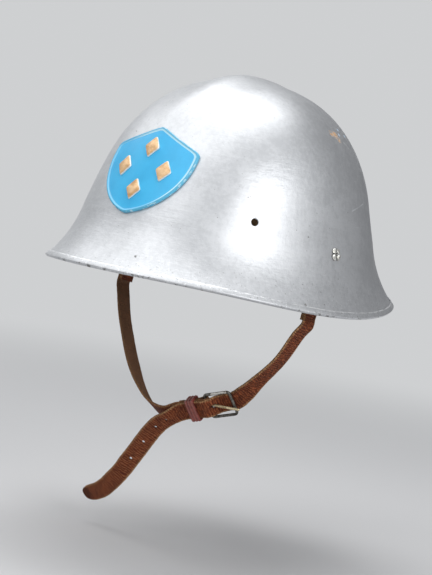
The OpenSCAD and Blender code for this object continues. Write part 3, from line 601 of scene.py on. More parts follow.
def wornGilt():
    metal = Finish("worn gilt", giltLook)
    here = metal.place()
    share = metal.parts(metal.laid())[0]
    sand = metal.noise(here, 900, detail=3, rough=0.7)
    patch = metal.noise(here, 170, detail=4)
    metal.ground(metal.fade(patch + sand * 0.35, 0.45, 0.85), "low", "high")
    metal.cover(metal.fade(share + (patch - 0.5) * 0.20, 0.91, 0.985) * 0.9, "worn")
    metal.emboss(patch, 0.25, 0.7)
    metal.emboss(sand, 0.10, 0.8)
    return metal.surface(rough=0.42 + sand * 0.2, metal=0.45)


steelLook = {"dull": (0.30, 0.295, 0.29), "zinc": (0.50, 0.50, 0.495), "rust": (0.22, 0.10, 0.045)}


def dullSteel():
    metal = Finish("dull steel", steelLook)
    here = metal.place()
    cloud = metal.noise(here, 120, detail=5, rough=0.65)
    metal.ground(metal.fade(cloud, 0.35, 0.65), "dull", "zinc")
    rust = metal.fade(metal.noise(here, 330, detail=5, rough=0.75), 0.58, 0.70) * 0.5
    metal.cover(rust, "rust")
    metal.emboss(metal.noise(here, 900, detail=3) + cloud, 0.04, 0.8)
    return metal.surface(rough=0.40 + cloud * 0.15 + rust * 0.3, metal=0.92 - 0.7 * rust)


brassLook = {
    "tarnish": (0.20, 0.125, 0.055),
    "bright": (0.66, 0.50, 0.26),
    "patches": 260,
    "detail": 5,
    "span": (0.34, 0.58),
    "dents": 2,
    "rough": 0.25,
    "metal": 0.9,
}
prongLook = {
    "tarnish": (0.38, 0.28, 0.15),
    "bright": (0.84, 0.71, 0.46),
    "patches": 300,
    "detail": 4,
    "span": (0.32, 0.56),
    "dents": 1,
    "rough": 0.2,
    "metal": 0.85,
}


def agedBrass(name, look):
    metal = Finish(name, look)
    here = metal.place()
    cloud = metal.noise(here, look["patches"], detail=look["detail"], rough=0.7)
    metal.ground(metal.fade(cloud, *look["span"]), "tarnish", "bright")
    metal.emboss(metal.noise(here, 1300, detail=2) + cloud * look["dents"], 0.05, 0.8)
    return metal.surface(rough=0.30 + cloud * look["rough"], metal=look["metal"])


# the darkest colour stands for grime and for painted shade in the crevices
rivetLook = {"bare": (0.74, 0.745, 0.72), "shadeAndGrime": (0.05, 0.048, 0.045), "dull": (0.44, 0.43, 0.39)}


def bareRivet():
    # lay holds the radius from the rivet's middle, the height over the plate, and -1 to 1 across a prong
    metal = Finish("peened rivet", rivetLook)
    here = metal.place()
    radius, height, across = metal.parts(metal.laid())
    cloud = metal.noise(here, 480, detail=4, rough=0.7)
    metal.ground(metal.fade(cloud, 0.38, 0.62), "dull", "bare")
    # grime and painted shade: darker low by the plate, along the prongs' sides and in the middle, where
    # shade falls
    creviceShadeAndGrime = 1 - metal.fade(height, 0.35, 0.80)
    creviceShadeAndGrime = metal.larger(creviceShadeAndGrime, metal.fade(abs(across), 0.88, 0.99) * 0.7)
    creviceShadeAndGrime = metal.larger(creviceShadeAndGrime, (1 - metal.fade(radius, 1.0, 1.6)) * 0.9)
    metal.cover(creviceShadeAndGrime * 0.85, "shadeAndGrime")
    metal.emboss(cloud, 0.22, 0.9)
    return metal.surface(rough=0.32 + cloud * 0.2 + creviceShadeAndGrime * 0.2, metal=0.85)


strapLook = {
    "deep": (0.150, 0.034, 0.014),
    "mid": (0.285, 0.068, 0.024),
    "rubbed": (0.50, 0.170, 0.072),
    "edge": (0.56, 0.31, 0.150),
    "crack": (0.040, 0.010, 0.006),
    "flesh": (0.26, 0.15, 0.085),
    "halfWidth": 7.4,
    "ripple": 3.2,          # radians for each millimetre along the strap
    "sway": 16,
    "darkEnd": (5, 10),
}


def strapLeather(name, wear, darkEnd=None):
    # lay holds millimetres along the strap, -1 to 1 across it, and 1 on the grain side
    hide = Finish(name, strapLook)
    here = hide.place()
    along, across, side = hide.parts(hide.laid())
    inputs = {0: along, 1: across * strapLook["halfWidth"], 2: side}
    flat = hide.node("ShaderNodeCombineXYZ", inputs=inputs)
    cloud = hide.noise(flat, 0.16, detail=4, rough=0.6)
    mottle = hide.noise(flat, 0.9, detail=4, rough=0.65)
    ridge = hide.noise(flat, (1.15, 0.20, 1), detail=4, rough=0.6, warp=0.6)
    hide.ground(hide.fade(cloud, 0.3, 0.7), "deep", "mid")
    sway = hide.noise(flat, (0.22, 0.14, 1), detail=3, rough=0.6) * strapLook["sway"]
    ripple = hide.maths("SINE", along * strapLook["ripple"] + sway + mottle * 4, 0) * 0.5 + 0.5
    tailward = 1 - hide.fade(hide.parts(here)[2], -0.130, -0.106)
    rubbed = hide.fade(mottle * 0.36 + ridge * 0.36 + ripple * 0.28, 0.40, 0.68)
    hide.cover(rubbed * (tailward * 0.5 + 0.5) * wear, "rubbed")
    edge = hide.fade(abs(across) + (mottle - 0.5) * 0.55, 0.74, 0.94)
    hide.cover(edge * (0.35 + 0.6 * wear), "edge")
    crack = 1 - hide.fade(abs(ridge - 0.5), 0.010, 0.052)
    crack = crack * hide.fade(hide.noise(flat, 0.35, detail=2), 0.30, 0.50)
    small = hide.noise(flat, (2.6, 0.5, 1), detail=3, warp=0.4)
    crack = hide.larger(crack, (1 - hide.fade(abs(small - 0.5), 0.006, 0.030)) * 0.8)
    crack = hide.larger(crack, (1 - hide.fade(ripple, 0.02, 0.34)) * hide.fade(mottle, 0.36, 0.56) * 0.9)
    hide.cover(crack * (0.40 + 0.35 * wear), "crack")
    if darkEnd:
        hide.cover(hide.nearPoint(here, darkEnd, *strapLook["darkEnd"]) * 0.6, "crack")
    flesh = 1 - hide.fade(side, -0.6, 0.0)
    hide.cover(flesh * 0.75, "flesh")
    hide.emboss(ridge + ripple * 0.4, 0.60, 0.8)
    hide.emboss(1 - crack, 0.35, 0.9)
    hide.emboss(hide.noise(here, 1500, detail=2) + mottle, 0.10, 0.7)
    return hide.surface(rough=0.46 + mottle * 0.25 + flesh * 0.15 + edge * 0.1, gloss=0.14)


# the rubbed colour also paints a highlight on the keeper's ridge tops
keeperLook = {"dark": (0.11, 0.016, 0.012), "red": (0.24, 0.050, 0.036), "rubbed": (0.36, 0.13, 0.10)}


def keeperLeather():
    # lay's third value is 1 on top of the ridges
    hide = Finish("keeper leather", keeperLook)
    here = hide.place()
    ridge = hide.parts(hide.laid())[2]
    cloud = hide.noise(here, 330, detail=4)
    hide.ground(hide.fade(cloud, 0.3, 0.7), "dark", "red")
    # lighter ridge tops: rubbed leather, and partly a painted highlight
    hide.cover(hide.fade(ridge, 0.55, 0.95) * 0.35, "rubbed")
    hide.emboss(cloud + hide.noise(here, 1700, detail=2) * 0.4, 0.12, 0.8)
    return hide.surface(rough=0.34 + cloud * 0.15, coat=0.3, coatRough=0.2)


linerLook = {"pale": (0.44, 0.27, 0.135), "worn": (0.27, 0.145, 0.065), "sweat": (0.085, 0.045, 0.022)}


def linerLeather(name, lowest, highest):
    # darkened by use towards the lowest height
    hide = Finish(name, linerLook)
    here = hide.place()
    cloud = hide.noise(here, 42, detail=5, rough=0.6)
    hide.ground(hide.fade(cloud, 0.3, 0.7), "worn", "pale")
    stain = 1 - hide.fade(hide.parts(here)[2] + (cloud - 0.5) * 0.03, lowest * mm, highest * mm)
    hide.cover(stain * 0.6, "sweat")
    hide.emboss(hide.noise(here, (90, 90, 420), detail=4, warp=0.8), 0.22, 0.6)
    hide.emboss(hide.noise(here, 1100, detail=3), 0.08, 0.7)
    return hide.surface(rough=0.55 + cloud * 0.2 - stain * 0.12)


feltLook = {"dark": (0.15, 0.145, 0.135), "grey": (0.36, 0.35, 0.32)}


def greyFelt():
    wool = Finish("grey felt", feltLook)
    here = wool.place()
    hairs = wool.noise(here, (900, 900, 2600), detail=4, rough=0.8, warp=2.5)
    cloud = wool.noise(here, 150, detail=4)
    wool.ground(wool.fade(hairs * 0.7 + cloud * 0.3, 0.35, 0.65), "dark", "grey")
    wool.emboss(hairs, 0.5, 0.9)
    return wool.surface(rough=0.95, sheen=0.3)


cottonLook = {"clean": (0.56, 0.50, 0.38), "dirty": (0.34, 0.28, 0.19)}


def cottonCord():
    cord = Finish("cotton cord", cottonLook)
    here = cord.place()
    cord.ground(cord.fade(cord.noise(here, 110, detail=4), 0.35, 0.70), "clean", "dirty")
    cord.emboss(cord.noise(here, 2400, detail=3), 0.15, 0.9)
    return cord.surface(rough=0.85, sheen=0.2)


shellPaint = silverPaint("aluminium paint", False)
rimPaint = silverPaint("rim paint", True)
enamel = blueEnamel()
gilt = wornGilt()
zinc = dullSteel()
brass = agedBrass("old brass", brassLook)
prongBrass = agedBrass("prong brass", prongLook)
rivetMetal = bareRivet()
keeperHide = keeperLeather()
bandHide = linerLeather("sweatband leather", -4, 30)
fingerHide = linerLeather("finger leather", 0, 46)
felt = greyFelt()
cotton = cottonCord()
print("finishes made:", len(bpy.data.materials))


# Shell

shellForm = {
    "sectors": 288, "domeRings": 58, "wallRings": 46, "wallSpacing": 0.9,
    "ventAngle": 53, "ventHeight": 40, "ventRadius": 2.6,
}


def shellSkin(form):
    down = np.arange(1, form["domeRings"] + 1) / form["domeRings"]
    wall = np.arange(1, form["wallRings"] + 1) / form["wallRings"]
    runs = np.concatenate([down, 1 + wall ** form["wallSpacing"]])
    angles = np.arange(form["sectors"]) * 360 / form["sectors"]
    run, angle = np.meshgrid(runs, angles, indexing="ij")
    outer = shellPoint(angle, run).reshape(-1, 3)
    inner = shellOffset(angle, run, np.full(run.shape, -dome["plate"])).reshape(-1, 3)
    tops = [shellPoint(0.0, 0.0), shellPoint(0.0, 0.0) - (0, 0, dome["plate"])]
    rows, cols = run.shape
    count = rows * cols
    faces = gridFaces(rows, cols) + gridFaces(rows, cols, count, flip=True)
    last = count - cols
    for j in range(cols):
        k = (j + 1) % cols
        faces.append((2 * count, k, j))
        faces.append((2 * count + 1, count + j, count + k))
        faces.append((last + j, last + k, count + last + k, count + last + j))
    points = np.concatenate([outer, inner, tops])
    lay = np.zeros(points.shape)
    lay[:count, 0] = 1      # 1 on the outside and 0 on the inside
    lay[2 * count, 0] = 1
    return points, faces, lay


def ventCutters(form):
    run = findRun(form["ventAngle"], form["ventHeight"])
    r = form["ventRadius"]
    profile = [(r + 0.2, -6), (r + 0.1, -0.9), (r, -0.4), (r + 0.15, -0.1), (r + 0.5, 0.12), (r + 0.8, 4)]
    cutters = []
    for side in (-1, 1):
        out = shellNormal(side * form["ventAngle"], run)
        across, up = squareTo(out)
        cutters.append(lathe(profile, shellPoint(side * form["ventAngle"], run), across, up, out))
    return cutters


shell = addPiece("shell_pressing", shellSkin(shellForm), shellPaint, "helmet",
                 stands=["shell"])
cutAway(shell, ventCutters(shellForm))
print("shell done:", len(shell.data.polygons), "faces")


# Folded rim band, a little uneven where it was closed by hand

rimForm = {"leg": 4, "sheet": 0.6, "gap": 0.15, "steps": 432, "wobble": 0.16, "grain": 9, "settle": 12}


def rimBand(form):
    lip = form["gap"] + form["sheet"]
    middle = -dome["plate"] / 2
    turn = np.radians(np.linspace(90, -90, 9))
    leg, gap = form["leg"], form["gap"]
    outside = [(-lip * math.cos(t), middle + (lip - middle) * math.sin(t)) for t in turn]
    inside = [(-gap * math.cos(t), middle + (gap - middle) * math.sin(t)) for t in turn[::-1]]
    front = [(leg - 0.1, 0.3), (leg, 0.5), (leg - 0.12, 0.7), (leg - 0.6, lip + 0.04),
             (leg / 2, lip - 0.04)]
    under = -dome["plate"]
    back = [(leg / 2, under - lip), (leg - 0.3, under - lip), (leg, under - 0.45)]
    section = np.array(front + outside + back + inside)
    steps = np.arange(form["steps"])
    angle = steps * 360 / form["steps"]
    edge = shellPoint(angle, 2.0)
    speed = np.linalg.norm(edge - shellPoint(angle, 2.0 - runStep), axis=-1) / runStep
    sway = drift(form["steps"], form["grain"], form["wobble"])
    sway = sway * np.clip(np.minimum(steps, form["steps"] - steps) / form["settle"], 0, 1)
    high = np.clip(section[:, 0] / leg, 0, 1)
    run = 2 - (section[:, 0][None] + sway[:, None] * high) / speed[:, None]
    rings = shellOffset(angle[:, None] + 0 * run, run, np.broadcast_to(section[:, 1], run.shape))
    return loft(rings, np.pad(section, ((0, 0), (0, 1))), loop=True)


addPiece("folded_rim", rimBand(rimForm), rimPaint, "helmet", sharp=50, stands=["rim_band"])
print("rim band done")


# Shield badge: enamelled plate with a rounded raised edge, and four gilt lozenges

badge = {
    "width": 76, "peak": 36, "tip": 33.5, "height": 62,
    "plate": 1.6, "edge": 2.4, "edgeRise": 0.7, "seat": 0.15,
    "cornerRadius": 5, "shoulder": 22.5, "arcMiddle": 13, "topDip": 0.5, "topEnd": 34,
    "studs": [(0, 14), (0, -13)], "studRadius": 1.5, "studLength": 7.4,
    "threads": 18, "threadPitch": 0.25, "threadDepth": 0.18,
    "lozenges": [(0, 18.5), (-18, 2), (18, 2), (0, -15)],
    "lozengeWidth": 13, "lozengeHeight": 17, "lozengeRise": 2,
}
badgeRun = findRun(0.0, badge["height"])
badgeAt = shellPoint(0.0, badgeRun)
badgeOut = shellNormal(0.0, badgeRun)
badgeAcross = np.array([1.0, 0, 0])
badgeUp = unit(np.cross(badgeOut, badgeAcross))


def overDome(flat, height):
    # points over the dome below spots of the badge's plane, by Newton's method
    x, y = flat[..., 0], flat[..., 1]
    angle = np.zeros(x.shape)
    run = np.full(x.shape, badgeRun)
    for step in range(8):
        p = shellPoint(angle, run)
        byAngle = shellPoint(angle + 1, run) - p
        byRun = (shellPoint(angle, run + runStep) - p) / runStep
        missX = x - p[..., 0]
        missY = y - (p - badgeAt) @ badgeUp
        upAngle, upRun = byAngle @ badgeUp, byRun @ badgeUp
        det = byAngle[..., 0] * upRun - byRun[..., 0] * upAngle
        angle = angle + (missX * upRun - missY * byRun[..., 0]) / det
        run = run + (byAngle[..., 0] * missY - upAngle * missX) / det
    return shellOffset(angle, run, np.broadcast_to(height, x.shape))


def eased(outline, rounds):
    # an outline with its corners rounded off
    for step in range(rounds):
        outline = (np.roll(outline, 1, 0) + 2 * outline + np.roll(outline, -1, 0)) / 4
    return outline


def shieldOutline(form):
    half = form["width"] / 2
    t = np.linspace(0, 1, 26)[:-1]
    fall = form["peak"] - (form["peak"] - form["shoulder"]) * t
    top = np.stack([form["topEnd"] * t, fall - form["topDip"] * np.sin(math.pi * t)], -1)
    turn = np.radians(np.linspace(72, 0, 9))[:-1]
    corner = np.stack([half - form["cornerRadius"] * (1 - np.cos(turn)),
                       form["shoulder"] - form["cornerRadius"] * (1 - np.sin(turn))], -1)
    drop = form["tip"] + form["arcMiddle"]
    radius = (half ** 2 + drop ** 2) / form["width"]
    turn = -math.asin(drop / radius) * np.linspace(0, 1, 40)
    side = np.stack([half - radius * (1 - np.cos(turn)), form["arcMiddle"] + radius * np.sin(turn)], -1)
    right = np.concatenate([top, corner, side])
    return eased(np.concatenate([right, right[-2:0:-1] * (-1, 1)]), 2)


def domePlate(outline, middle, rings):
    # skin of a plate whose rings are (share of the outline, height over the dome)
    n = len(outline)
    middle = np.array(middle, float)
    rows = [overDome(middle + share * outline, height) for share, height in rings]
    lay = [np.full((n, 3), (share, height, 0)) for share, height in rings]
    ends = [overDome(middle, rings[0][1]), overDome(middle, rings[-1][1])]
    faces = gridFaces(len(rings), n)
    count = len(rings) * n
    for j in range(n):
        k = (j + 1) % n
        faces.append((count, k, j))
        faces.append((count + 1, count - n + j, count - n + k))
    endLay = [(0, rings[0][1], 0), (0, rings[-1][1], 0)]
    return np.concatenate(rows + [ends]), faces, np.concatenate(lay + [endLay])


def studFoot(spot):
    # foot of a stud on the dome's surface, in the badge's directions
    foot = overDome(np.array(spot, float), 0.0)
    return badgeAt + spot[0] * badgeAcross + spot[1] * badgeUp + ((foot - badgeAt) @ badgeOut) * badgeOut


def studs(form):
    r, end = form["studRadius"], -form["studLength"]
    threads = []
    for k in range(form["threads"]):
        threads.append((r - form["threadDepth"] * (k % 2), end + 0.3 + form["threadPitch"] * k))
    profile = [(0.4, end), (r - 0.3, end)] + threads + [(r, 0.6)]
    return [lathe(profile, studFoot(spot), badgeAcross, badgeUp, badgeOut, 20) for spot in form["studs"]]


def shieldPlate(form):
    e = 2 * form["edge"] / form["width"]
    t, h, seat = form["plate"], form["edgeRise"], form["seat"]
    bead = [(0.88, 0.28), (0.78, 0.72), (0.66, 0.97), (0.52, 1), (0.36, 0.96), (0.2, 0.7), (0.08, 0.2)]
    rings = [(s, t) for s in (0.2, 0.45, 0.7, 0.85, 1 - 1.25 * e)] + [(1 - e, t + 0.04)]
    rings += [(1 - s * e, t + rise * h) for s, rise in bead] + [(1 - 0.01 * e, t * 0.8), (1, t * 0.5)]
    rings += [(1, seat + 0.1), (1 - 0.1 * e, seat)] + [(s, seat) for s in (0.85, 0.6, 0.35, 0.15)]
    return merge(domePlate(shieldOutline(form), (0, 0), rings), *studs(form))


def lozengePlates(form):
    x, y = form["lozengeWidth"] / 2, form["lozengeHeight"] / 2
    corners = np.array([(0, y), (x, 0), (0, -y), (-x, 0)])
    sides = [corners[i] + (corners[(i + 1) % 4] - corners[i]) * k / 12 for i in range(4) for k in range(12)]
    outline = eased(np.array(sides), 2)
    t, h = form["plate"], form["lozengeRise"]
    slope = [(0.14, 1), (0.30, 0.965), (0.46, 0.92), (0.62, 0.86), (0.74, 0.80), (0.82, 0.76), (0.88, 0.73),
             (0.93, 0.64), (0.97, 0.50), (1, 0.34)]
    rings = [(s, t + rise * h) for s, rise in slope] + [(1.01, t + 0.2), (1, t + 0.1), (0.5, t + 0.1)]
    return merge(*[domePlate(outline, spot, rings) for spot in form["lozenges"]])


addPiece("enamel_shield", shieldPlate(badge), enamel, "helmet", stands=["badge_shield"])
addPiece("gilt_lozenges", lozengePlates(badge), gilt, "helmet", sharp=30, stands=["badge_lozenges"])
print("badge done")


# Liner: steel band, sweatband, fingers, cord, pads and small rivets

liner = {
    "side": 79, "front": 99, "rear": 97, "power": 2.2, "steps": 288, "sweat": 2, "sweatHeight": 36,
    "softGap": 0.3, "finger": 1.6, "gap": 0.15, "band": 0.8, "bandHeight": 14, "rivetHeight": 26,
    "fingers": 8, "ringHeight": 114, "ringRadius": 24, "cord": 1.2,
}
fingerIn = liner["sweat"] + liner["softGap"]
fingerMiddle = fingerIn + liner["finger"] / 2
bandIn = fingerIn + liner["finger"] + liner["gap"]
bandOut = bandIn + liner["band"]
bandLow = liner["rivetHeight"] - liner["bandHeight"] / 2
fingerBend = liner["sweatHeight"] + 1
fingerAngles = [(i + 0.5) * 360 / liner["fingers"] for i in range(liner["fingers"])]


def headOval(angle, grow):
    turn = np.radians(angle)
    c, s = np.cos(turn), np.sin(turn)
    k = ovalReach(c, s, liner["power"])
    reach = np.where(c > 0, liner["front"], liner["rear"]) + grow
    return np.stack([k * (liner["side"] + grow) * s, -k * reach * c], -1)


def ovalBand(section):
    # a band round the head: section rows of (growth of the oval, height)
    angle = np.arange(liner["steps"]) * 360 / liner["steps"]
    rings = np.zeros((len(angle), len(section), 3))
    for j, (grow, height) in enumerate(section):
        rings[:, j, :2] = headOval(angle, grow)
        rings[:, j, 2] = height
    return loft(rings, loop=True)


def bandSection(inner, outer, low, high):
    ease = (outer - inner) * 0.3
    return [(inner, low + ease), (inner + ease, low), (outer - ease, low), (outer, low + ease),
            (outer, low + 4 * ease), (outer, low + 8 * ease), (outer, (low + high) / 2),
            (outer, high - 2 * ease), (outer - ease, high), (inner + ease, high), (inner, high - ease),
            (inner, (low + high) / 2), (inner, low + 6 * ease)]


def onBand(angle, grow, height):
    # a spot on the head oval, with its outward and sideways directions
    before, after = headOval(angle - 0.5, grow), headOval(angle + 0.5, grow)
    side = unit(np.append(after - before, 0))
    return np.append(headOval(angle, grow), height), np.cross(side, (0, 0, 1)), side


def stitches(places, form):
    # a short raised thread at each place, a row of (spot, way out, way along)
    t = np.linspace(-1, 1, 7)
    radius = form["thick"] * np.sqrt(1 - 0.75 * t * t)
    made = []
    for spot, out, side in places:
        rise = 0.5 * form["thick"] * np.cos(t * math.pi / 2)
        path = spot + np.outer(t * form["length"] / 2, side) + np.outer(rise, out)
        made.append(tube(path, radius, 6, lean=out))
    return merge(*made)


bandStitch = {"rows": (3.2, 33.2), "pitch": 2.4, "proud": 0.02, "length": 2.4, "thick": 0.32}


def bandStitches(form):
    places = []
    for height in form["rows"]:
        for angle in np.arange(0, 360, form["pitch"]):
            spot, out, side = onBand(angle, form["proud"], height)
            places.append((spot, -out, side))
    return stitches(places, form)


fingerForm = {
    "share": 0.94, "taper": 0.34, "fullness": 0.9, "hemTurn": 214,
    "pucker": 0.35, "puckerTilt": 62, "puckerSpan": 16, "puckerWaves": 3.5,
}


def fingerHalf(z):
    # half a finger's width in degrees round the head
    up = np.clip((z - fingerBend) / (liner["ringHeight"] - fingerBend), 0, 1)
    return (180 / liner["fingers"]) * (fingerForm["share"] - fingerForm["taper"] * up)


def fingerRows(form):
    # rows of (place across the helmet, height, tilt), as the part's own fingers run
    hem = liner["cord"] + 2 * liner["gap"] + liner["finger"] / 2
    rows = [(0, z, 0) for z in np.linspace(bandLow + 1, fingerBend, 9)]
    rise = liner["ringHeight"] + hem - fingerBend
    for tilt in np.linspace(0, 90, 37)[1:]:
        turn = math.radians(tilt)
        share = 1 - max(0, math.cos(turn)) ** form["fullness"]
        rows.append((share, fingerBend + rise * math.sin(turn), tilt))
    for tilt in np.linspace(0, form["hemTurn"], 20)[1:]:
        turn = math.radians(tilt)
        rows.append((1 + math.sin(turn) * hem / 100, liner["ringHeight"] + hem * math.cos(turn), 90 + tilt))
    return rows


def finger(form, angle):
    width, depth = softLoop(17, 0.035, 4)
    rings = []
    for share, height, tilt in fingerRows(form):
        turn = angle + width * fingerHalf(height)
        foot = headOval(turn, fingerMiddle)
        reach = np.linalg.norm(foot, axis=-1)
        inward = liner["ringRadius"] + (reach - liner["ringRadius"]) * (1 - share)
        r = inward if share <= 1 else np.full(len(turn), liner["ringRadius"] - (share - 1) * 100)
        waves = np.sin(width * form["puckerWaves"] * math.pi)
        pucker = form["pucker"] * math.exp(-((tilt - form["puckerTilt"]) / form["puckerSpan"]) ** 2) * waves
        d = depth * liner["finger"] / 2 + pucker
        out = 1 if tilt <= 0 else math.cos(math.radians(tilt))
        rise = 0 if tilt <= 0 else math.sin(math.radians(tilt))
        flat = foot / reach[:, None] * (r + d * out)[:, None]
        rings.append(np.concatenate([flat, (height + d * rise)[:, None]], 1))
    return loft(rings)


hemStitch = {"count": 6, "half": 0.82, "below": 0.3, "reach": 6.2, "rise": 2.9, "length": 1.8, "thick": 0.3}


def hemStitches(form):
    # a row of stitches closes each finger's hem, seen from above and below
    height = liner["ringHeight"] - form["below"]
    r = liner["ringRadius"] + form["reach"]
    places = []
    for angle in fingerAngles:
        for t in np.linspace(-form["half"], form["half"], form["count"]):
            turn = math.radians(angle + t * fingerHalf(height))
            spot = np.array([r * math.sin(turn), -r * math.cos(turn), height + form["rise"]])
            places.append((spot, np.array([0, 0, 1.0]), np.array([math.cos(turn), math.sin(turn), 0])))
    return stitches(places, form)


cord = {
    "steps": 420, "pitch": 6.5, "strandAt": 0.52, "strand": 0.56,
    "end": 0.9, "endPitch": 5.5, "endLength": 19, "endWay": (0.2366, -0.2079, -0.949),
    "endBend": (0.7, 0.28, 0), "whipping": 1.25,
    "knotWidth": 4.2, "knotRadius": 1.75, "knotTurn": 18.8, "knotStrand": 0.85,
}


def twisted(path, radius, pitch, loop=False):
    # three strands laid round a path
    path = np.asarray(path, float)
    way = pathWay(path, loop)
    step = np.linalg.norm(np.diff(path, axis=0), axis=1)
    length = np.concatenate([[0], np.cumsum(step)])
    total = length[-1] + (np.linalg.norm(path[0] - path[-1]) if loop else 0)
    turns = round(total / pitch)
    strands = []
    for k in range(3):
        turn = 2 * math.pi * (length / total * turns + k / 3)
        points = []
        for i, point in enumerate(path):
            side, up = squareTo(way[i])
            ring = math.cos(turn[i]) * side + math.sin(turn[i]) * up
            points.append(point + cord["strandAt"] * radius * ring)
        strands.append(tube(points, cord["strand"] * radius, 8, loop))
    return merge(*strands)


def drawCord(form):
    # a ring through the hems, with a knot at the rear and two hanging ends
    ring, height = liner["ringRadius"], liner["ringHeight"]
    turn = roundTurns(form["steps"])
    circle = np.stack([ring * np.sin(turn), ring * np.cos(turn), np.full(len(turn), height)], -1)
    knotAt = np.array([0, ring, height])
    t = np.linspace(0, 1, 90)
    turn = t * form["knotTurn"]
    r = form["knotRadius"]
    coil = knotAt + np.stack([form["knotWidth"] * (t - 0.5), r * np.cos(turn), r * np.sin(turn)], -1)
    parts = [twisted(circle, liner["cord"], form["pitch"], loop=True),
             tube(coil, form["knotStrand"], 8, lean=(1, 0, 0))]
    for side in (-1, 1):
        mirror = np.array([side, 1, 1])
        bend = np.outer(np.sin(np.linspace(0, math.pi, 60)), mirror * form["endBend"])
        start = knotAt + (side * liner["cord"], 0, 0)
        end = start + np.outer(np.linspace(0, form["endLength"], 60), mirror * form["endWay"]) + bend
        parts.append(twisted(end, form["end"] * liner["cord"], form["endPitch"]))
        parts.append(tube(end[-9:-3], form["whipping"], 10))
    return merge(*parts)


def rivetHead(form, at, x, y, z):
    r, h = form["radius"], form["rise"]
    profile = [(r * 0.6, -0.02), (r * 0.97, 0), (r, h * 0.3), (r * 0.93, h * 0.62), (r * 0.74, h * 0.86),
               (r * 0.4, h * 0.98), (0.05, h)]
    return lathe(profile, at, x, y, z, 24)


bandRivet = {"radius": 3, "rise": 0.7, "shank": 1.2}


def bandRivets(form):
    shank = [(form["shank"], -0.2), (form["shank"], bandOut + 0.2)]
    up = np.array([0, 0, 1.0])
    parts = []
    for angle in fingerAngles:
        spot, out, side = onBand(angle, 0, liner["rivetHeight"])
        parts.append(rivetHead(form, spot - liner["gap"] * out, side, -up, -out))
        parts.append(rivetHead(form, spot + (bandOut + liner["gap"]) * out, side, up, out))
        parts.append(lathe(shank, spot, side, up, out, 16))
    return merge(*parts)


sweat = bandSection(0, liner["sweat"], 0, liner["sweatHeight"])
hoop = bandSection(bandIn, bandOut, bandLow, bandLow + liner["bandHeight"])
fingers = merge(*[finger(fingerForm, angle) for angle in fingerAngles])
addPiece("sweatband_leather", ovalBand(sweat), bandHide, "helmet", 60,
         stands=["sweatband"])
addPiece("sweatband_stitches", bandStitches(bandStitch), cotton, "helmet")
addPiece("liner_hoop", ovalBand(hoop), zinc, "helmet", 50, stands=["liner_band"])
addPiece("leather_fingers", fingers, fingerHide, "helmet", 60, stands=["crown_fingers"])
addPiece("hem_stitches", hemStitches(hemStitch), cotton, "helmet")
addPiece("crown_cord", drawCord(cord), cotton, "helmet", 60, stands=["drawcord"])
addPiece("small_rivets", bandRivets(bandRivet), brass, "helmet", stands=["band_rivets"])
print("liner leather, cord and rivets done")


# Felt pads, softened from the part's own solids

feltForm = {"weld": 0.02, "voxel": 0.9, "ease": 0.5, "smoothing": 7}


def softPads(form):
    made = newObject("felt_cushions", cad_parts["felt_pads"].data.copy())
    weld = made.modifiers.new("weld", "WELD")
    weld.merge_threshold = form["weld"] * mm
    voxels = made.modifiers.new("voxels", "REMESH")
    voxels.mode = "VOXEL"
    voxels.voxel_size = form["voxel"] * mm
    smooth = made.modifiers.new("soften", "SMOOTH")
    smooth.factor = form["ease"]
    smooth.iterations = form["smoothing"]
    applyModifiers(made)
    made.data.materials.clear()
    made.data.materials.append(felt)
    made.data.shade_smooth()
    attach(made, "helmet")
    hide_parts("felt_pads")
    return made


pads = softPads(feltForm)
print("felt pads done:", len(pads.data.polygons), "faces")


# Split rivets: a domed head inside the band and four prongs peened over outside

splitRivet = {
    "shank": 2, "spread": 5.6, "half": 37, "rootTo": 1.4, "rootShare": 0.8, "closeFrom": 3.6,
    "tipShare": 0.05, "arch": 0.16,
    "turn": 7, "reach": (0.85, 1.0), "sag": 0.2, "head": {"radius": 4.5, "rise": 1.2},
    "rise": [(1.0, 0.55), (1.5, 1.30), (2.1, 1.68), (3.0, 1.80), (3.9, 1.66), (4.7, 1.32), (5.2, 0.98),
             (5.5, 0.62)],
}
rivetSpots = [(90.0, "side"), (270.0, "side"), (180.0, "rear")]


def wallRun(line):
    return 1 + (line["top"] - liner["rivetHeight"]) / (line["top"] - line["rimHeight"])


def petal(form, turn, reach, sag):
    # a prong bent flat outwards; the rows of rise are (radius, height of its back)
    rings, lay = [], []
    for r, top in form["rise"]:
        r = r * reach
        close = max(0.0, (r - form["closeFrom"]) / (form["spread"] * reach - form["closeFrom"]))
        half = math.radians(form["half"]) * math.sqrt(max(form["tipShare"], 1 - close ** 3))
        half = half * (1 if r > form["rootTo"] else form["rootShare"])
        s = np.linspace(-1, 1, 9)
        back = turn + half * s
        up = np.stack([r * np.cos(back), r * np.sin(back), top * (1 - form["arch"] * s ** 4 + sag * s)], -1)
        back = turn + half * s[::-1]
        low = np.stack([r * np.cos(back), r * np.sin(back), np.full(9, 0.2)], -1)
        rings.append(np.concatenate([up, low]))
        lay.append(np.stack([np.full(18, r), rings[-1][:, 2], np.concatenate([s, s[::-1]])], -1))
    return loft(rings, lay)


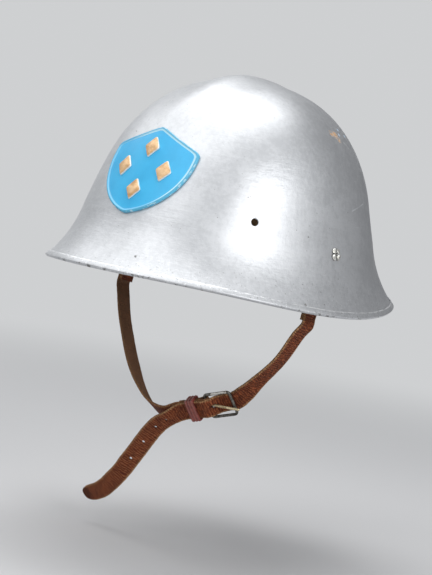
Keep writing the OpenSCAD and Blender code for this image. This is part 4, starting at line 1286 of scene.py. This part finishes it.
def splitRivets(form):
    shank = form["shank"]
    parts = []
    for angle, line in rivetSpots:
        run = wallRun(dome[line])
        at, out = shellPoint(angle, run), shellNormal(angle, run)
        across, up = squareTo(out)
        for k in range(4):
            turn = math.radians(45 + 90 * k + dice.uniform(-form["turn"], form["turn"]))
            reach = dice.uniform(*form["reach"])
            points, faces, lay = petal(form, turn, reach, dice.uniform(-form["sag"], form["sag"]))
            parts.append((placed(points, at, across, up, out), faces, lay))
        mouth = [(shank, -2), (shank, 0.5), (1.5, 0.75), (0.7, 0.35), (0.1, 0.3)]
        parts.append(lathe(mouth, at, across, up, out, 24))
        turn = math.radians(angle)
        radial = np.array([math.sin(turn), -math.cos(turn), 0])
        inside = np.linalg.norm(headOval(angle, bandIn)) - liner["gap"]
        foot = radial * inside + (0, 0, liner["rivetHeight"])
        across, up = squareTo(radial)
        parts.append(rivetHead(form["head"], foot, across, -up, -radial))
        length = np.linalg.norm(at[:2]) - inside - 1
        parts.append(lathe([(shank, -0.4), (shank, length)], foot, across, up, radial, 20))
    return merge(*parts)


addPiece("peened_rivets", splitRivets(splitRivet), rivetMetal, "helmet", 45,
         stands=["split_rivets"])
print("split rivets done")


# Chin strap: two ribbons of leather, their folds, the buckle and the keeper

strap = {
    "width": 14.8, "thick": 1.9, "full": 2, "rake": 10, "hangerX": 90.75, "hangerLength": 29.5,
    "hangerPlate": 1.5, "foldLength": 22, "step": 0.55, "tip": 10, "softGap": 0.3, "hole": 1.2,
}
buckle = {
    "at": (24.5, -22, -101), "run": (-0.94, -0.12, -0.32), "lean": (0.27, 0.53, -0.8), "length": 22,
    "wire": 1.1, "clear": 0.9, "strap": 15, "runGap": 0.07, "foldGap": 0.17, "double": 23, "straight": 22,
    "bend": 2.5,
}
rake = math.radians(strap["rake"])
hangWay = np.array([0, -math.sin(rake), -math.cos(rake)])
edgeWay = np.array([0, math.cos(rake), -math.sin(rake)])
buckleAt = np.array(buckle["at"], float)
buckleRun = unit(buckle["run"])
lean = np.array(buckle["lean"])
buckleEdge = unit(lean - (lean @ buckleRun) * buckleRun)
buckleOut = np.cross(buckleRun, buckleEdge)
buckleRail = buckle["strap"] / 2 + buckle["wire"] + buckle["clear"]
halfThick = strap["full"] / 2
underFar = -(buckle["wire"] + 1.4 * strap["softGap"] + halfThick)
foldRadius = buckle["wire"] + buckle["foldGap"]
overHinge = foldRadius + strap["full"] + strap["softGap"] + halfThick
overDouble = 1.5 * strap["full"] + strap["softGap"]


def hangerSpot(side, below, out):
    # a spot at a side of the helmet, below the rivet and out from the hanger's middle
    return np.array([side * (strap["hangerX"] + out), 0, liner["rivetHeight"]]) + below * hangWay


def buckleSpot(u, n, v=0.0):
    # a spot along the buckle's run, out from it and along its edge
    return buckleAt + u * buckleRun + v * buckleEdge + n * buckleOut


# Rows of a middle point of the strap and the direction of its edge
cheek = [((87, -12, -36), edgeWay), ((77, -14.5, -56), edgeWay),
         ((62, -17, -75), (0.05, 0.88, -0.4)), ((52.4, -18, -86.2), (0.19, 0.64, -0.7))]
tail = [((-4, -29.5, -116), (0.16, 0.76, -0.63)), ((-12, -29.5, -121.5), (0.28, 0.72, -0.63)),
        ((-20, -28.5, -129.5), (0.45, 0.63, -0.63)), ((-29, -27.5, -142), (0.55, 0.56, -0.6)),
        ((-39.5, -26.5, -157), (0.6, 0.53, -0.58)), ((-51, -26, -173), (0.6, 0.53, -0.55)),
        ((-65, -25.5, -187), (0.56, 0.53, -0.6)), ((-81, -25.5, -194.5), (0.5, 0.53, -0.66))]
throughBuckle = [(-buckle["length"], underFar), (5 - buckle["length"], underFar + 0.15), (-9.5, -1.3),
                 (-5, 2.2), (0, overHinge), (3.5, overHinge - 0.4), (7, overDouble), (14, overDouble),
                 (buckle["straight"], overDouble)]
rightCheek = [((-11, -26.5, -114), (0.2, 0.65, -0.7)), ((-27, -26, -110.5), (0.08, 0.8, -0.55)),
              ((-43, -23.5, -100), (0, 0.9, -0.4)), ((-57, -20.5, -85.5), edgeWay),
              ((-69, -17.5, -69), edgeWay), ((-80, -14.5, -51), edgeWay), ((-87, -12, -36), edgeWay)]
foldEnd = strap["hangerLength"] + strap["foldLength"]
longRoute = [(hangerSpot(1, foldEnd + d, halfThick), edgeWay) for d in (-3, 3)]
longRoute += cheek + [(buckleSpot(u, n), buckleEdge) for u, n in throughBuckle] + tail
shortRoute = [(buckleSpot(buckle["double"] + d, halfThick), buckleEdge) for d in (-4, 3)] + rightCheek
shortRoute += [(hangerSpot(-1, foldEnd + d, halfThick), edgeWay) for d in (3, -3)]


def hangerFold(side):
    # from the end of the flap inside, round the hanger's bar, to where the single strap starts
    radius = strap["hangerPlate"] / 2 + strap["softGap"] - 0.05 + halfThick
    inner = [(22, -1), (17, -1), (12, -1.0), (9, -1.05), (6, -1.45), (3, -1.88), (0.6, -2)]
    turn = np.radians(np.arange(-108, -256, -24))
    arc = [(-0.6 + radius * math.cos(t), radius * math.sin(t)) for t in turn]
    outer = [(0.6, 2), (3, 1.88), (6, 1.45), (9, 1.05), (12, 1.0), (15.5, 1)]
    return [(hangerSpot(side, strap["hangerLength"] + x, z), edgeWay) for x, z in inner + arc + outer]


def buckleFold():
    # from the end of the flap inside, round the hinge bar, to where the single strap starts
    radius = foldRadius + halfThick
    inner = [(23, -1), (18, -1), (12, -1), (8, -1.05), (5, -1.5), (2, -2.15)]
    turn = np.radians(np.arange(-90, -271, -22.5))
    arc = [(radius * math.cos(t), radius * math.sin(t)) for t in turn]
    outer = [(2, 2.15), (5, 1.5), (8, 1.05), (12, 1), (15.5, 1)]
    return [(buckleSpot(x, z), buckleEdge) for x, z in inner + arc + outer]


def spline(rows, k):
    # Catmull-Rom point and edge direction at place k of the rows
    i = min(int(k), len(rows) - 2)
    t = k - i
    ends = [rows[max(0, min(len(rows) - 1, i + d))] for d in (-1, 0, 1, 2)]
    p = [np.concatenate([np.asarray(row[0], float), np.asarray(row[1], float)]) for row in ends]
    return 0.5 * (2 * p[1] + (p[2] - p[0]) * t + (2 * p[0] - 5 * p[1] + 4 * p[2] - p[3]) * t * t
                  + (3 * p[1] - p[0] - 3 * p[2] + p[3]) * t ** 3)


def evenRows(rows, step):
    dense = np.array([spline(rows, k) for k in np.arange(0, (len(rows) - 1) * 16 + 1) / 16])
    length = np.concatenate([[0], np.cumsum(np.linalg.norm(np.diff(dense[:, :3], axis=0), axis=1))])
    count = int(length[-1] / step)
    at = np.linspace(0, length[-1], count)
    return np.stack([np.interp(at, length, dense[:, c]) for c in range(6)], -1), at


leather = {
    "across": 13, "corner": 0.13, "inset": 0.1, "nicks": ((3, 0.13), (13, 0.1)), "cup": 0.10, "sunk": 0.05,
    "blunt": 0.3, "creaseEvery": 2.0, "creaseGap": (1.3, 3.4), "creaseSkew": 0.8,
    "creaseDeep": (0.03, 0.15), "creaseHalf": 0.45,
}


def ribbon(rows, form, tip):
    # leather along rows, with worn edges and shallow creases across it
    made, at = evenRows(rows, form["step"])
    count = len(made)
    way = unit(np.gradient(made[:, :3], axis=0))
    across = unit(made[:, 3:] - (made[:, 3:] * way).sum(-1, keepdims=True) * way)
    out = np.cross(way, across)
    width, depth = softLoop(leather["across"], leather["corner"], 5)
    left = at[-1] - at
    taper = np.ones(count)
    if tip:
        near = left < tip
        blunt = leather["blunt"]
        taper[near] = blunt + (1 - blunt) * np.sqrt(1 - (1 - left[near] / tip) ** 2)
    wide = form["width"] / 2 * taper - leather["inset"]
    nick = [sum(drift(count, grain, size) for grain, size in leather["nicks"])[:, None] for k in range(2)]
    side = np.where(width[None] > 0, *nick) * np.clip(np.abs(width) * 3 - 2, 0, 1)
    s = width[None] * wide[:, None] + side * np.sign(width)[None]
    crease = np.zeros(s.shape)
    creases = int(at[-1] / leather["creaseEvery"])
    for place in np.cumsum(dice.uniform(*leather["creaseGap"], creases)):
        skew = dice.uniform(-leather["creaseSkew"], leather["creaseSkew"])
        deep = dice.uniform(*leather["creaseDeep"])
        crease += deep * np.exp(-((at[:, None] - place - skew * width[None]) / leather["creaseHalf"]) ** 2)
    cup = leather["cup"] * (1 - width[None] ** 2) - leather["sunk"]
    d = depth[None] * form["thick"] / 2 + cup - crease * np.maximum(depth, 0)[None]
    rings = made[:, None, :3] + across[:, None] * s[..., None] + out[:, None] * d[..., None]
    lay = [np.broadcast_to(values, s.shape) for values in (at[:, None], width, depth)]
    return loft(rings, np.stack(lay, -1))


tailFrom = 16       # the row of the long route where the tail's holes are counted from
tailHoles = [-0.6, 0.6, 1.85, 2.9]


def holeCutter(k):
    here = spline(longRoute, tailFrom + k)
    way = unit((spline(longRoute, tailFrom + k + 0.1) - spline(longRoute, tailFrom + k - 0.1))[:3])
    across = unit(here[3:] - (here[3:] @ way) * way)
    r = strap["hole"]
    profile = [(r, -4), (r * 0.94, -0.6), (r, 0.5), (r * 1.25, 1.1), (r * 1.3, 4)]
    return lathe(profile, here[:3], way, across, np.cross(way, across), 20)


prong = {
    "side": -2, "skew": 15, "radius": 0.9, "length": 27.5, "loopWidth": 3, "loopThick": 0.9, "spread": 1.22,
    "sizes": [(1, 0.95), (4, 0.92), (12, 0.9), (26.5, 0.82)],
    "tip": [(0.8, 0.95), (0.45, 0.82), (0.2, 0.62), (0.06, 0.36), (0, 0.08)],
    "slotRadius": 1.45, "slotLift": 20, "slotReach": (3, 13), "foldSlot": ((-6, -4, -6), (3.5, 0, 6)),
}
prongRise = math.atan2(buckle["wire"] + prong["radius"] + 0.05, buckle["length"])


def prongWay(lift=0.0):
    # direction of the prong in the buckle's run, edge and out, tipped up by lift
    rise, skew = prongRise + lift, math.radians(prong["skew"])
    flat = np.array([-math.cos(rise) * math.cos(skew), math.cos(rise) * math.sin(skew), math.sin(rise)])
    return flat @ np.array([buckleRun, buckleEdge, buckleOut])


def prongSlot(form):
    # room for the prong through the long strap, from rest to its highest
    ends = []
    start = buckleSpot(0, 0, form["side"])
    turn = roundTurns(12)
    for lift in (0, math.radians(form["slotLift"])):
        way = prongWay(lift)
        side, up = squareTo(way)
        ring = form["slotRadius"] * (np.outer(np.cos(turn), side) + np.outer(np.sin(turn), up))
        ends += [start + way * reach + ring for reach in form["slotReach"]]
    work = bmesh.new()
    for point in np.concatenate(ends):
        work.verts.new(point)
    bmesh.ops.convex_hull(work, input=work.verts)
    loose = [v for v in work.verts if not v.link_faces]
    bmesh.ops.delete(work, geom=loose, context="VERTS")
    work.verts.index_update()
    points = np.array([v.co for v in work.verts])
    faces = [tuple(v.index for v in face.verts) for face in work.faces]
    work.free()
    return points, faces, np.zeros(points.shape)


def blockCutter(low, high):
    # a box in the buckle's run, edge and out
    corners = [(x, y, z) for x in (low[0], high[0]) for y in (low[1], high[1]) for z in (low[2], high[2])]
    points = placed(corners, buckleAt, buckleRun, buckleEdge, buckleOut)
    faces = [(0, 1, 3, 2), (4, 6, 7, 5), (0, 4, 5, 1), (2, 3, 7, 6), (0, 2, 6, 4), (1, 5, 7, 3)]
    return points, faces, np.zeros(points.shape)


longHide = strapLeather("long strap leather", 1.0, tail[-1][0])
shortHide = strapLeather("short strap leather", 0.55)
longRows = hangerFold(1) + longRoute
shortRows = buckleFold() + shortRoute + hangerFold(-1)[::-1]
longStrap = addPiece("long_strap_leather", ribbon(longRows, strap, strap["tip"]), longHide,
                     "chin_strap", 50, stands=["long_strap"])
cutAway(longStrap, [prongSlot(prong)] + [holeCutter(k) for k in tailHoles], 50)
shortStrap = addPiece("short_strap_leather", ribbon(shortRows, strap, 0), shortHide,
                      "chin_strap", 50, stands=["short_strap"])
cutAway(shortStrap, [blockCutter(*prong["foldSlot"])], 50)
print("straps done:", len(longStrap.data.polygons), "and", len(shortStrap.data.polygons), "faces")


strapStitch = {"rows": (17.6, 20.8), "half": 5.4, "count": 6, "sunk": 0.06, "length": 1.7, "thick": 0.26}


def strapStitches(form):
    # two rows that hold the short strap's fold beside the buckle
    places = []
    for u in form["rows"]:
        for v in np.linspace(-form["half"], form["half"], form["count"]):
            for out in (-1, 1):
                spot = buckleSpot(u, out * (strap["full"] - form["sunk"]), v)
                places.append((spot, out * buckleOut, buckleEdge))
    return stitches(places, form)


strapRivet = {"radius": 3, "rise": 0.9, "shank": 1.3, "below": 12.5}


def strapRivets(form):
    face = strap["full"] + liner["gap"]
    shank = [(form["shank"], -face - 0.2), (form["shank"], face + 0.2)]
    parts = []
    for side in (-1, 1):
        spot = hangerSpot(side, strap["hangerLength"] + form["below"], 0)
        for out in (-side, side):
            axis = np.array([out, 0, 0.0])
            parts.append(rivetHead(form, spot + face * axis, hangWay, np.cross(axis, hangWay), axis))
        parts.append(lathe(shank, spot, hangWay, np.cross(axis, hangWay), axis, 16))
    return merge(*parts)


addPiece("strap_stitches", strapStitches(strapStitch), cotton, "chin_strap")
addPiece("strap_rivet_heads", strapRivets(strapRivet), brass, "chin_strap",
         stands=["strap_rivets"])


# Buckle: bent wire, tapered prong, ridged keeper

def roundedPath(x0, x1, y0, y1, r, corner, straight):
    # points round a rectangle with round corners
    centres = [(x1 - r, y1 - r, 0), (x0 + r, y1 - r, 90), (x0 + r, y0 + r, 180), (x1 - r, y0 + r, 270)]
    arcs = []
    for cx, cy, start in centres:
        turn = np.radians(np.linspace(start, start + 90, corner))
        arcs.append(np.stack([cx + r * np.cos(turn), cy + r * np.sin(turn)], -1))
    path = []
    for i, arc in enumerate(arcs):
        path.append(arc)
        after = arcs[(i + 1) % 4][0]
        t = np.linspace(0, 1, straight + 1)[1:-1, None]
        path.append(arc[-1] + (after - arc[-1]) * t)
    return np.concatenate(path)


def wireFrame(form):
    path = roundedPath(-form["length"], 0, -buckleRail, buckleRail, form["bend"], 10, 10)
    path = placed(np.pad(path, ((0, 0), (0, 1))), buckleAt, buckleRun, buckleEdge, buckleOut)
    return tube(path, form["wire"], 16, loop=True, lean=buckleOut)


def taperedProng(form):
    start = buckleSpot(0, 0, form["side"])
    fromTip, tipShares = zip(*form["tip"])
    places, sizes = zip(*form["sizes"])
    reach = np.concatenate([np.linspace(1.3, 6, 8), np.linspace(7, form["length"] - 1.2, 16),
                            form["length"] - np.array(fromTip)])
    size = np.interp(reach, places, sizes)
    size[-len(tipShares):] = sizes[-1] * np.array(tipShares)
    path = start + np.outer(reach, prongWay())
    stick = tube(path, size * form["spread"], 14, flat=1 / form["spread"], lean=buckleOut)
    inner, w = buckle["wire"] + buckle["runGap"], form["loopWidth"] / 2
    outer = inner + form["loopThick"]
    section = [(inner, -w + 0.2), (inner + 0.2, -w), (outer - 0.3, -w), (outer, -w + 0.35),
               (outer, w - 0.35), (outer - 0.3, w), (inner + 0.2, w), (inner, w - 0.2)]
    turn = roundTurns(28)
    rings = [[(r * math.cos(a), v, r * math.sin(a)) for r, v in section] for a in turn]
    loop = loft(placed(rings, start, buckleRun, buckleEdge, buckleOut), loop=True)
    return merge(stick, loop)


keeper = {
    "start": 7.5, "length": 7.5, "leather": 1.4, "ridges": 3, "corner": 1.0, "body": 0.36, "ridge": 0.34,
}


def ridgedKeeper(form):
    # a loop of leather, with ridges that run round it
    thick = form["leather"] / 2
    low = -strap["full"] - strap["softGap"] - thick
    high = overDouble + halfThick + strap["softGap"] + thick
    side = buckle["strap"] / 2 + strap["softGap"] + thick
    path = roundedPath(-side, side, low, high, form["corner"], 7, 12)
    way = pathWay(path, loop=True)
    out = np.stack([way[:, 1], -way[:, 0]], -1)
    t = np.linspace(-1, 1, 25)
    ridge = 0.5 + 0.5 * np.cos((t + 1) * form["ridges"] * math.pi + math.pi)
    top = form["body"] + form["ridge"] * ridge * (1 - 0.2 * t ** 6)
    x = np.concatenate([t, [1.0, 0.985], t[::-1], [-0.985, -1.0]]) * form["length"] / 2 + form["length"] / 2
    d = np.concatenate([top, [0.1, -0.45], np.full(25, -thick + 0.02), [-0.45, 0.1]])
    rings = np.zeros((len(path), len(x), 3))
    rings[..., 0] = form["start"] + x
    rings[..., 1:] = path[:, None] + out[:, None] * d[:, None]
    lay = np.zeros(rings.shape)
    lay[:, :25, 2] = ridge
    return loft(placed(rings, buckleAt, buckleRun, buckleEdge, buckleOut), lay, loop=True)


wireLook = {
    "dark": (0.060, 0.055, 0.048),
    "dull": (0.19, 0.18, 0.16),
    # worn is the bright colour of the upper rail, rubbed metal and partly a painted highlight
    "worn": (0.66, 0.645, 0.60),
    "rubbedAndLitStretch": (-8, -19),      # along the buckle's run
}


def tarnishedWire():
    # dark all round, and bright on the rail that faces up: partly rubbed metal, partly a painted highlight
    metal = Finish("tarnished wire", wireLook)
    here = metal.place()
    cloud = metal.noise(here, 240, detail=5, rough=0.7)
    metal.ground(metal.fade(cloud, 0.36, 0.64), "dark", "dull")
    # painted highlight, partly rubbed metal, along the top of one rail
    ends = [buckleSpot(u, buckle["wire"] * 0.6, -buckleRail).tolist() for u in wireLook["rubbedAndLitStretch"]]
    worn = metal.nearLine(here, *ends, 0.9, 1.7) * metal.fade(cloud, 0.34, 0.50)
    metal.cover(worn, "worn")
    metal.emboss(metal.noise(here, 900, detail=3) + cloud, 0.05, 0.8)
    return metal.surface(rough=0.45 - worn * 0.12, metal=0.85)


addPiece("buckle_wire", wireFrame(buckle), tarnishedWire(), "buckle", 80, stands=["buckle_frame"])
addPiece("brass_prong", taperedProng(prong), prongBrass, "prong", 60, stands=["buckle_prong"])
addPiece("ridged_keeper", ridgedKeeper(keeper), keeperHide, "keeper", 60,
         stands=["strap_keeper"])
print("buckle, prong and keeper done")


# Plates, spacers and nuts keep the part's own shape, with their edges eased

plainSteel = {"left_hanger": 0.22, "right_hanger": 0.22, "rivet_spacers": 0.25, "badge_nuts": 0.2}
easing = {"weld": 0.01, "segments": 2, "angle": 40}
for name, ease in plainSteel.items():
    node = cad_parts[name]
    node.data.materials.clear()
    node.data.materials.append(zinc)
    weld = node.modifiers.new("weld", "WELD")
    weld.merge_threshold = easing["weld"] * mm
    bevel = node.modifiers.new("ease", "BEVEL")
    bevel.width = ease * mm
    bevel.segments = easing["segments"]
    bevel.limit_method = "ANGLE"
    bevel.angle_limit = math.radians(easing["angle"])
print("plain steel pieces finished")


# Studio: pale floor, soft lights, the photograph's camera

studio = {
    "floor": {
        "height": -0.215,
        "colour": (0.66, 0.66, 0.665),
        "rings": (0.2, 0.6, 1.2, 2, 4),
        "sides": 96,
        "edge": (0.45, 1.5),
    },
    "pale": (0.62, 0.63, 0.64),
    "fill": (0.165, 0.175, 0.19),
    "lamps": [
        # name, azimuth from +X, elevation and watts
        ("overhead", 60, 80, 6.1),
        ("crown", 175, 75, 5.8),
        ("brow", -70, 66, 2.4),
        ("front", -105, 45, 4.8),
        ("left", -165, 42, 3.8),
        ("right", -12, 18, 10.4),
        ("rightRear", 12, 18, 1.5),
        ("low", -60, 10, 2.7),
    ],
    "distance": 1.5,
    "lampSize": 0.8,
    "aim": (0.0, 0.0, 0.05),
    "card": {
        "azimuth": 86,
        "elevation": 14,
        "distance": 1.7,
        "size": 4.4,
        "grey": (0.09, 0.09, 0.095),
        "edge": (1.05, 2.15),       # from its middle to where it starts and ends to thin out
    },
}


def standRound(made, azimuth, elevation, distance):
    a, e = math.radians(azimuth), math.radians(elevation)
    way = Vector((math.cos(e) * math.cos(a), math.cos(e) * math.sin(a), math.sin(e)))
    made.location = Vector(studio["aim"]) + way * distance
    made.rotation_euler = way.to_track_quat("Z", "Y").to_euler()


def addLamp(name, azimuth, elevation, watts):
    lamp = bpy.data.lights.new(name, "AREA")
    lamp.shape = "SQUARE"
    lamp.size = studio["lampSize"]
    lamp.energy = watts
    made = newObject(name, lamp)
    made.visible_camera = False
    standRound(made, azimuth, elevation, studio["distance"])


def scenery(finish, points, faces, near, far, span):
    # a flat shape whose shader turns from near to far, between two distances from its middle
    mesh = bpy.data.meshes.new(finish.material.name)
    mesh.from_pydata(points, [], faces)
    mesh.materials.append(finish.material)
    inputs = {0: finish.fromMiddle(*span), 1: near, 2: far}
    finish.show(finish.node("ShaderNodeMixShader", inputs=inputs).socket)
    return newObject(mesh.name, mesh)


def addGreyCard(card):
    # a soft card on the side away from the lamps, which shows only as a reflection in the metal
    half = card["size"] / 2
    corners = [(-half, -half, 0), (half, -half, 0), (half, half, 0), (-half, half, 0)]
    finish = Finish("grey card")
    grey = finish.node("ShaderNodeEmission", inputs={0: card["grey"]})
    clear = finish.node("ShaderNodeBsdfTransparent")
    made = scenery(finish, corners, [(0, 1, 2, 3)], grey, clear, card["edge"])
    standRound(made, card["azimuth"], card["elevation"], card["distance"])
    made.visible_camera = False
    made.visible_diffuse = False
    made.visible_shadow = False


def paleWorld():
    world = bpy.data.worlds.new("studio")
    bpy.context.scene.world = world
    world.use_nodes = True
    sky = Wiring(world.node_tree)
    seen = sky.node("ShaderNodeLightPath", output="Is Camera Ray")
    rays = seen.socket.node.outputs
    glossy, through = [Wire(sky, rays[name]) for name in ("Is Glossy Ray", "Is Transmission Ray")]
    shown = sky.larger(seen, sky.larger(glossy, through))
    fill = sky.node("ShaderNodeBackground", inputs={0: studio["fill"]})
    pale = sky.node("ShaderNodeBackground", inputs={0: studio["pale"]})
    mixed = sky.node("ShaderNodeMixShader", inputs={0: shown, 1: fill, 2: pale})
    end = sky.tree.nodes.new("ShaderNodeOutputWorld")
    sky.tree.links.new(mixed.socket, end.inputs[0])


def paleFloor(floor):
    # a disc that turns from lit floor into the plain background further out
    turn = roundTurns(floor["sides"])
    circle = np.stack([np.cos(turn), np.sin(turn), np.zeros(len(turn))], -1)
    points = np.concatenate([radius * circle for radius in floor["rings"]])
    faces = gridFaces(len(floor["rings"]), len(turn)) + [tuple(range(len(turn)))]
    finish = Finish("floor")
    finish.surface(colour=floor["colour"], rough=0.9, gloss=0.1)
    lit = Wire(finish, finish.shader.outputs[0])
    glow = finish.node("ShaderNodeEmission", inputs={0: studio["pale"]})
    made = scenery(finish, points.tolist(), faces, lit, glow, floor["edge"])
    made.location.z = floor["height"]


camera = {
    "at": (0.72357, -0.88758, 0.05788),
    "forward": (-0.63311, 0.77142, -0.06386),
    "roll": 9.4929,
    "lens": 94.86,
    "sensor": 36,
    "clip": 0.05,
}


def addCamera(form):
    made = newObject("camera", bpy.data.cameras.new("camera"))
    forward = Vector(form["forward"]).normalized()
    level = forward.cross(Vector((0, 0, 1))).normalized()
    upright = level.cross(forward)
    roll = math.radians(form["roll"])
    right = math.cos(roll) * level + math.sin(roll) * upright
    up = math.cos(roll) * upright - math.sin(roll) * level
    turned = Matrix((right, up, -forward)).transposed().to_4x4()
    made.matrix_world = Matrix.Translation(form["at"]) @ turned
    made.data.sensor_width = form["sensor"]
    made.data.lens = form["lens"]
    made.data.clip_start = form["clip"]
    bpy.context.scene.camera = made


paleWorld()
paleFloor(studio["floor"])
for row in studio["lamps"]:
    addLamp(*row)
addGreyCard(studio["card"])
addCamera(camera)
bpy.context.scene.view_settings.view_transform = "Standard"
print("studio and camera done")
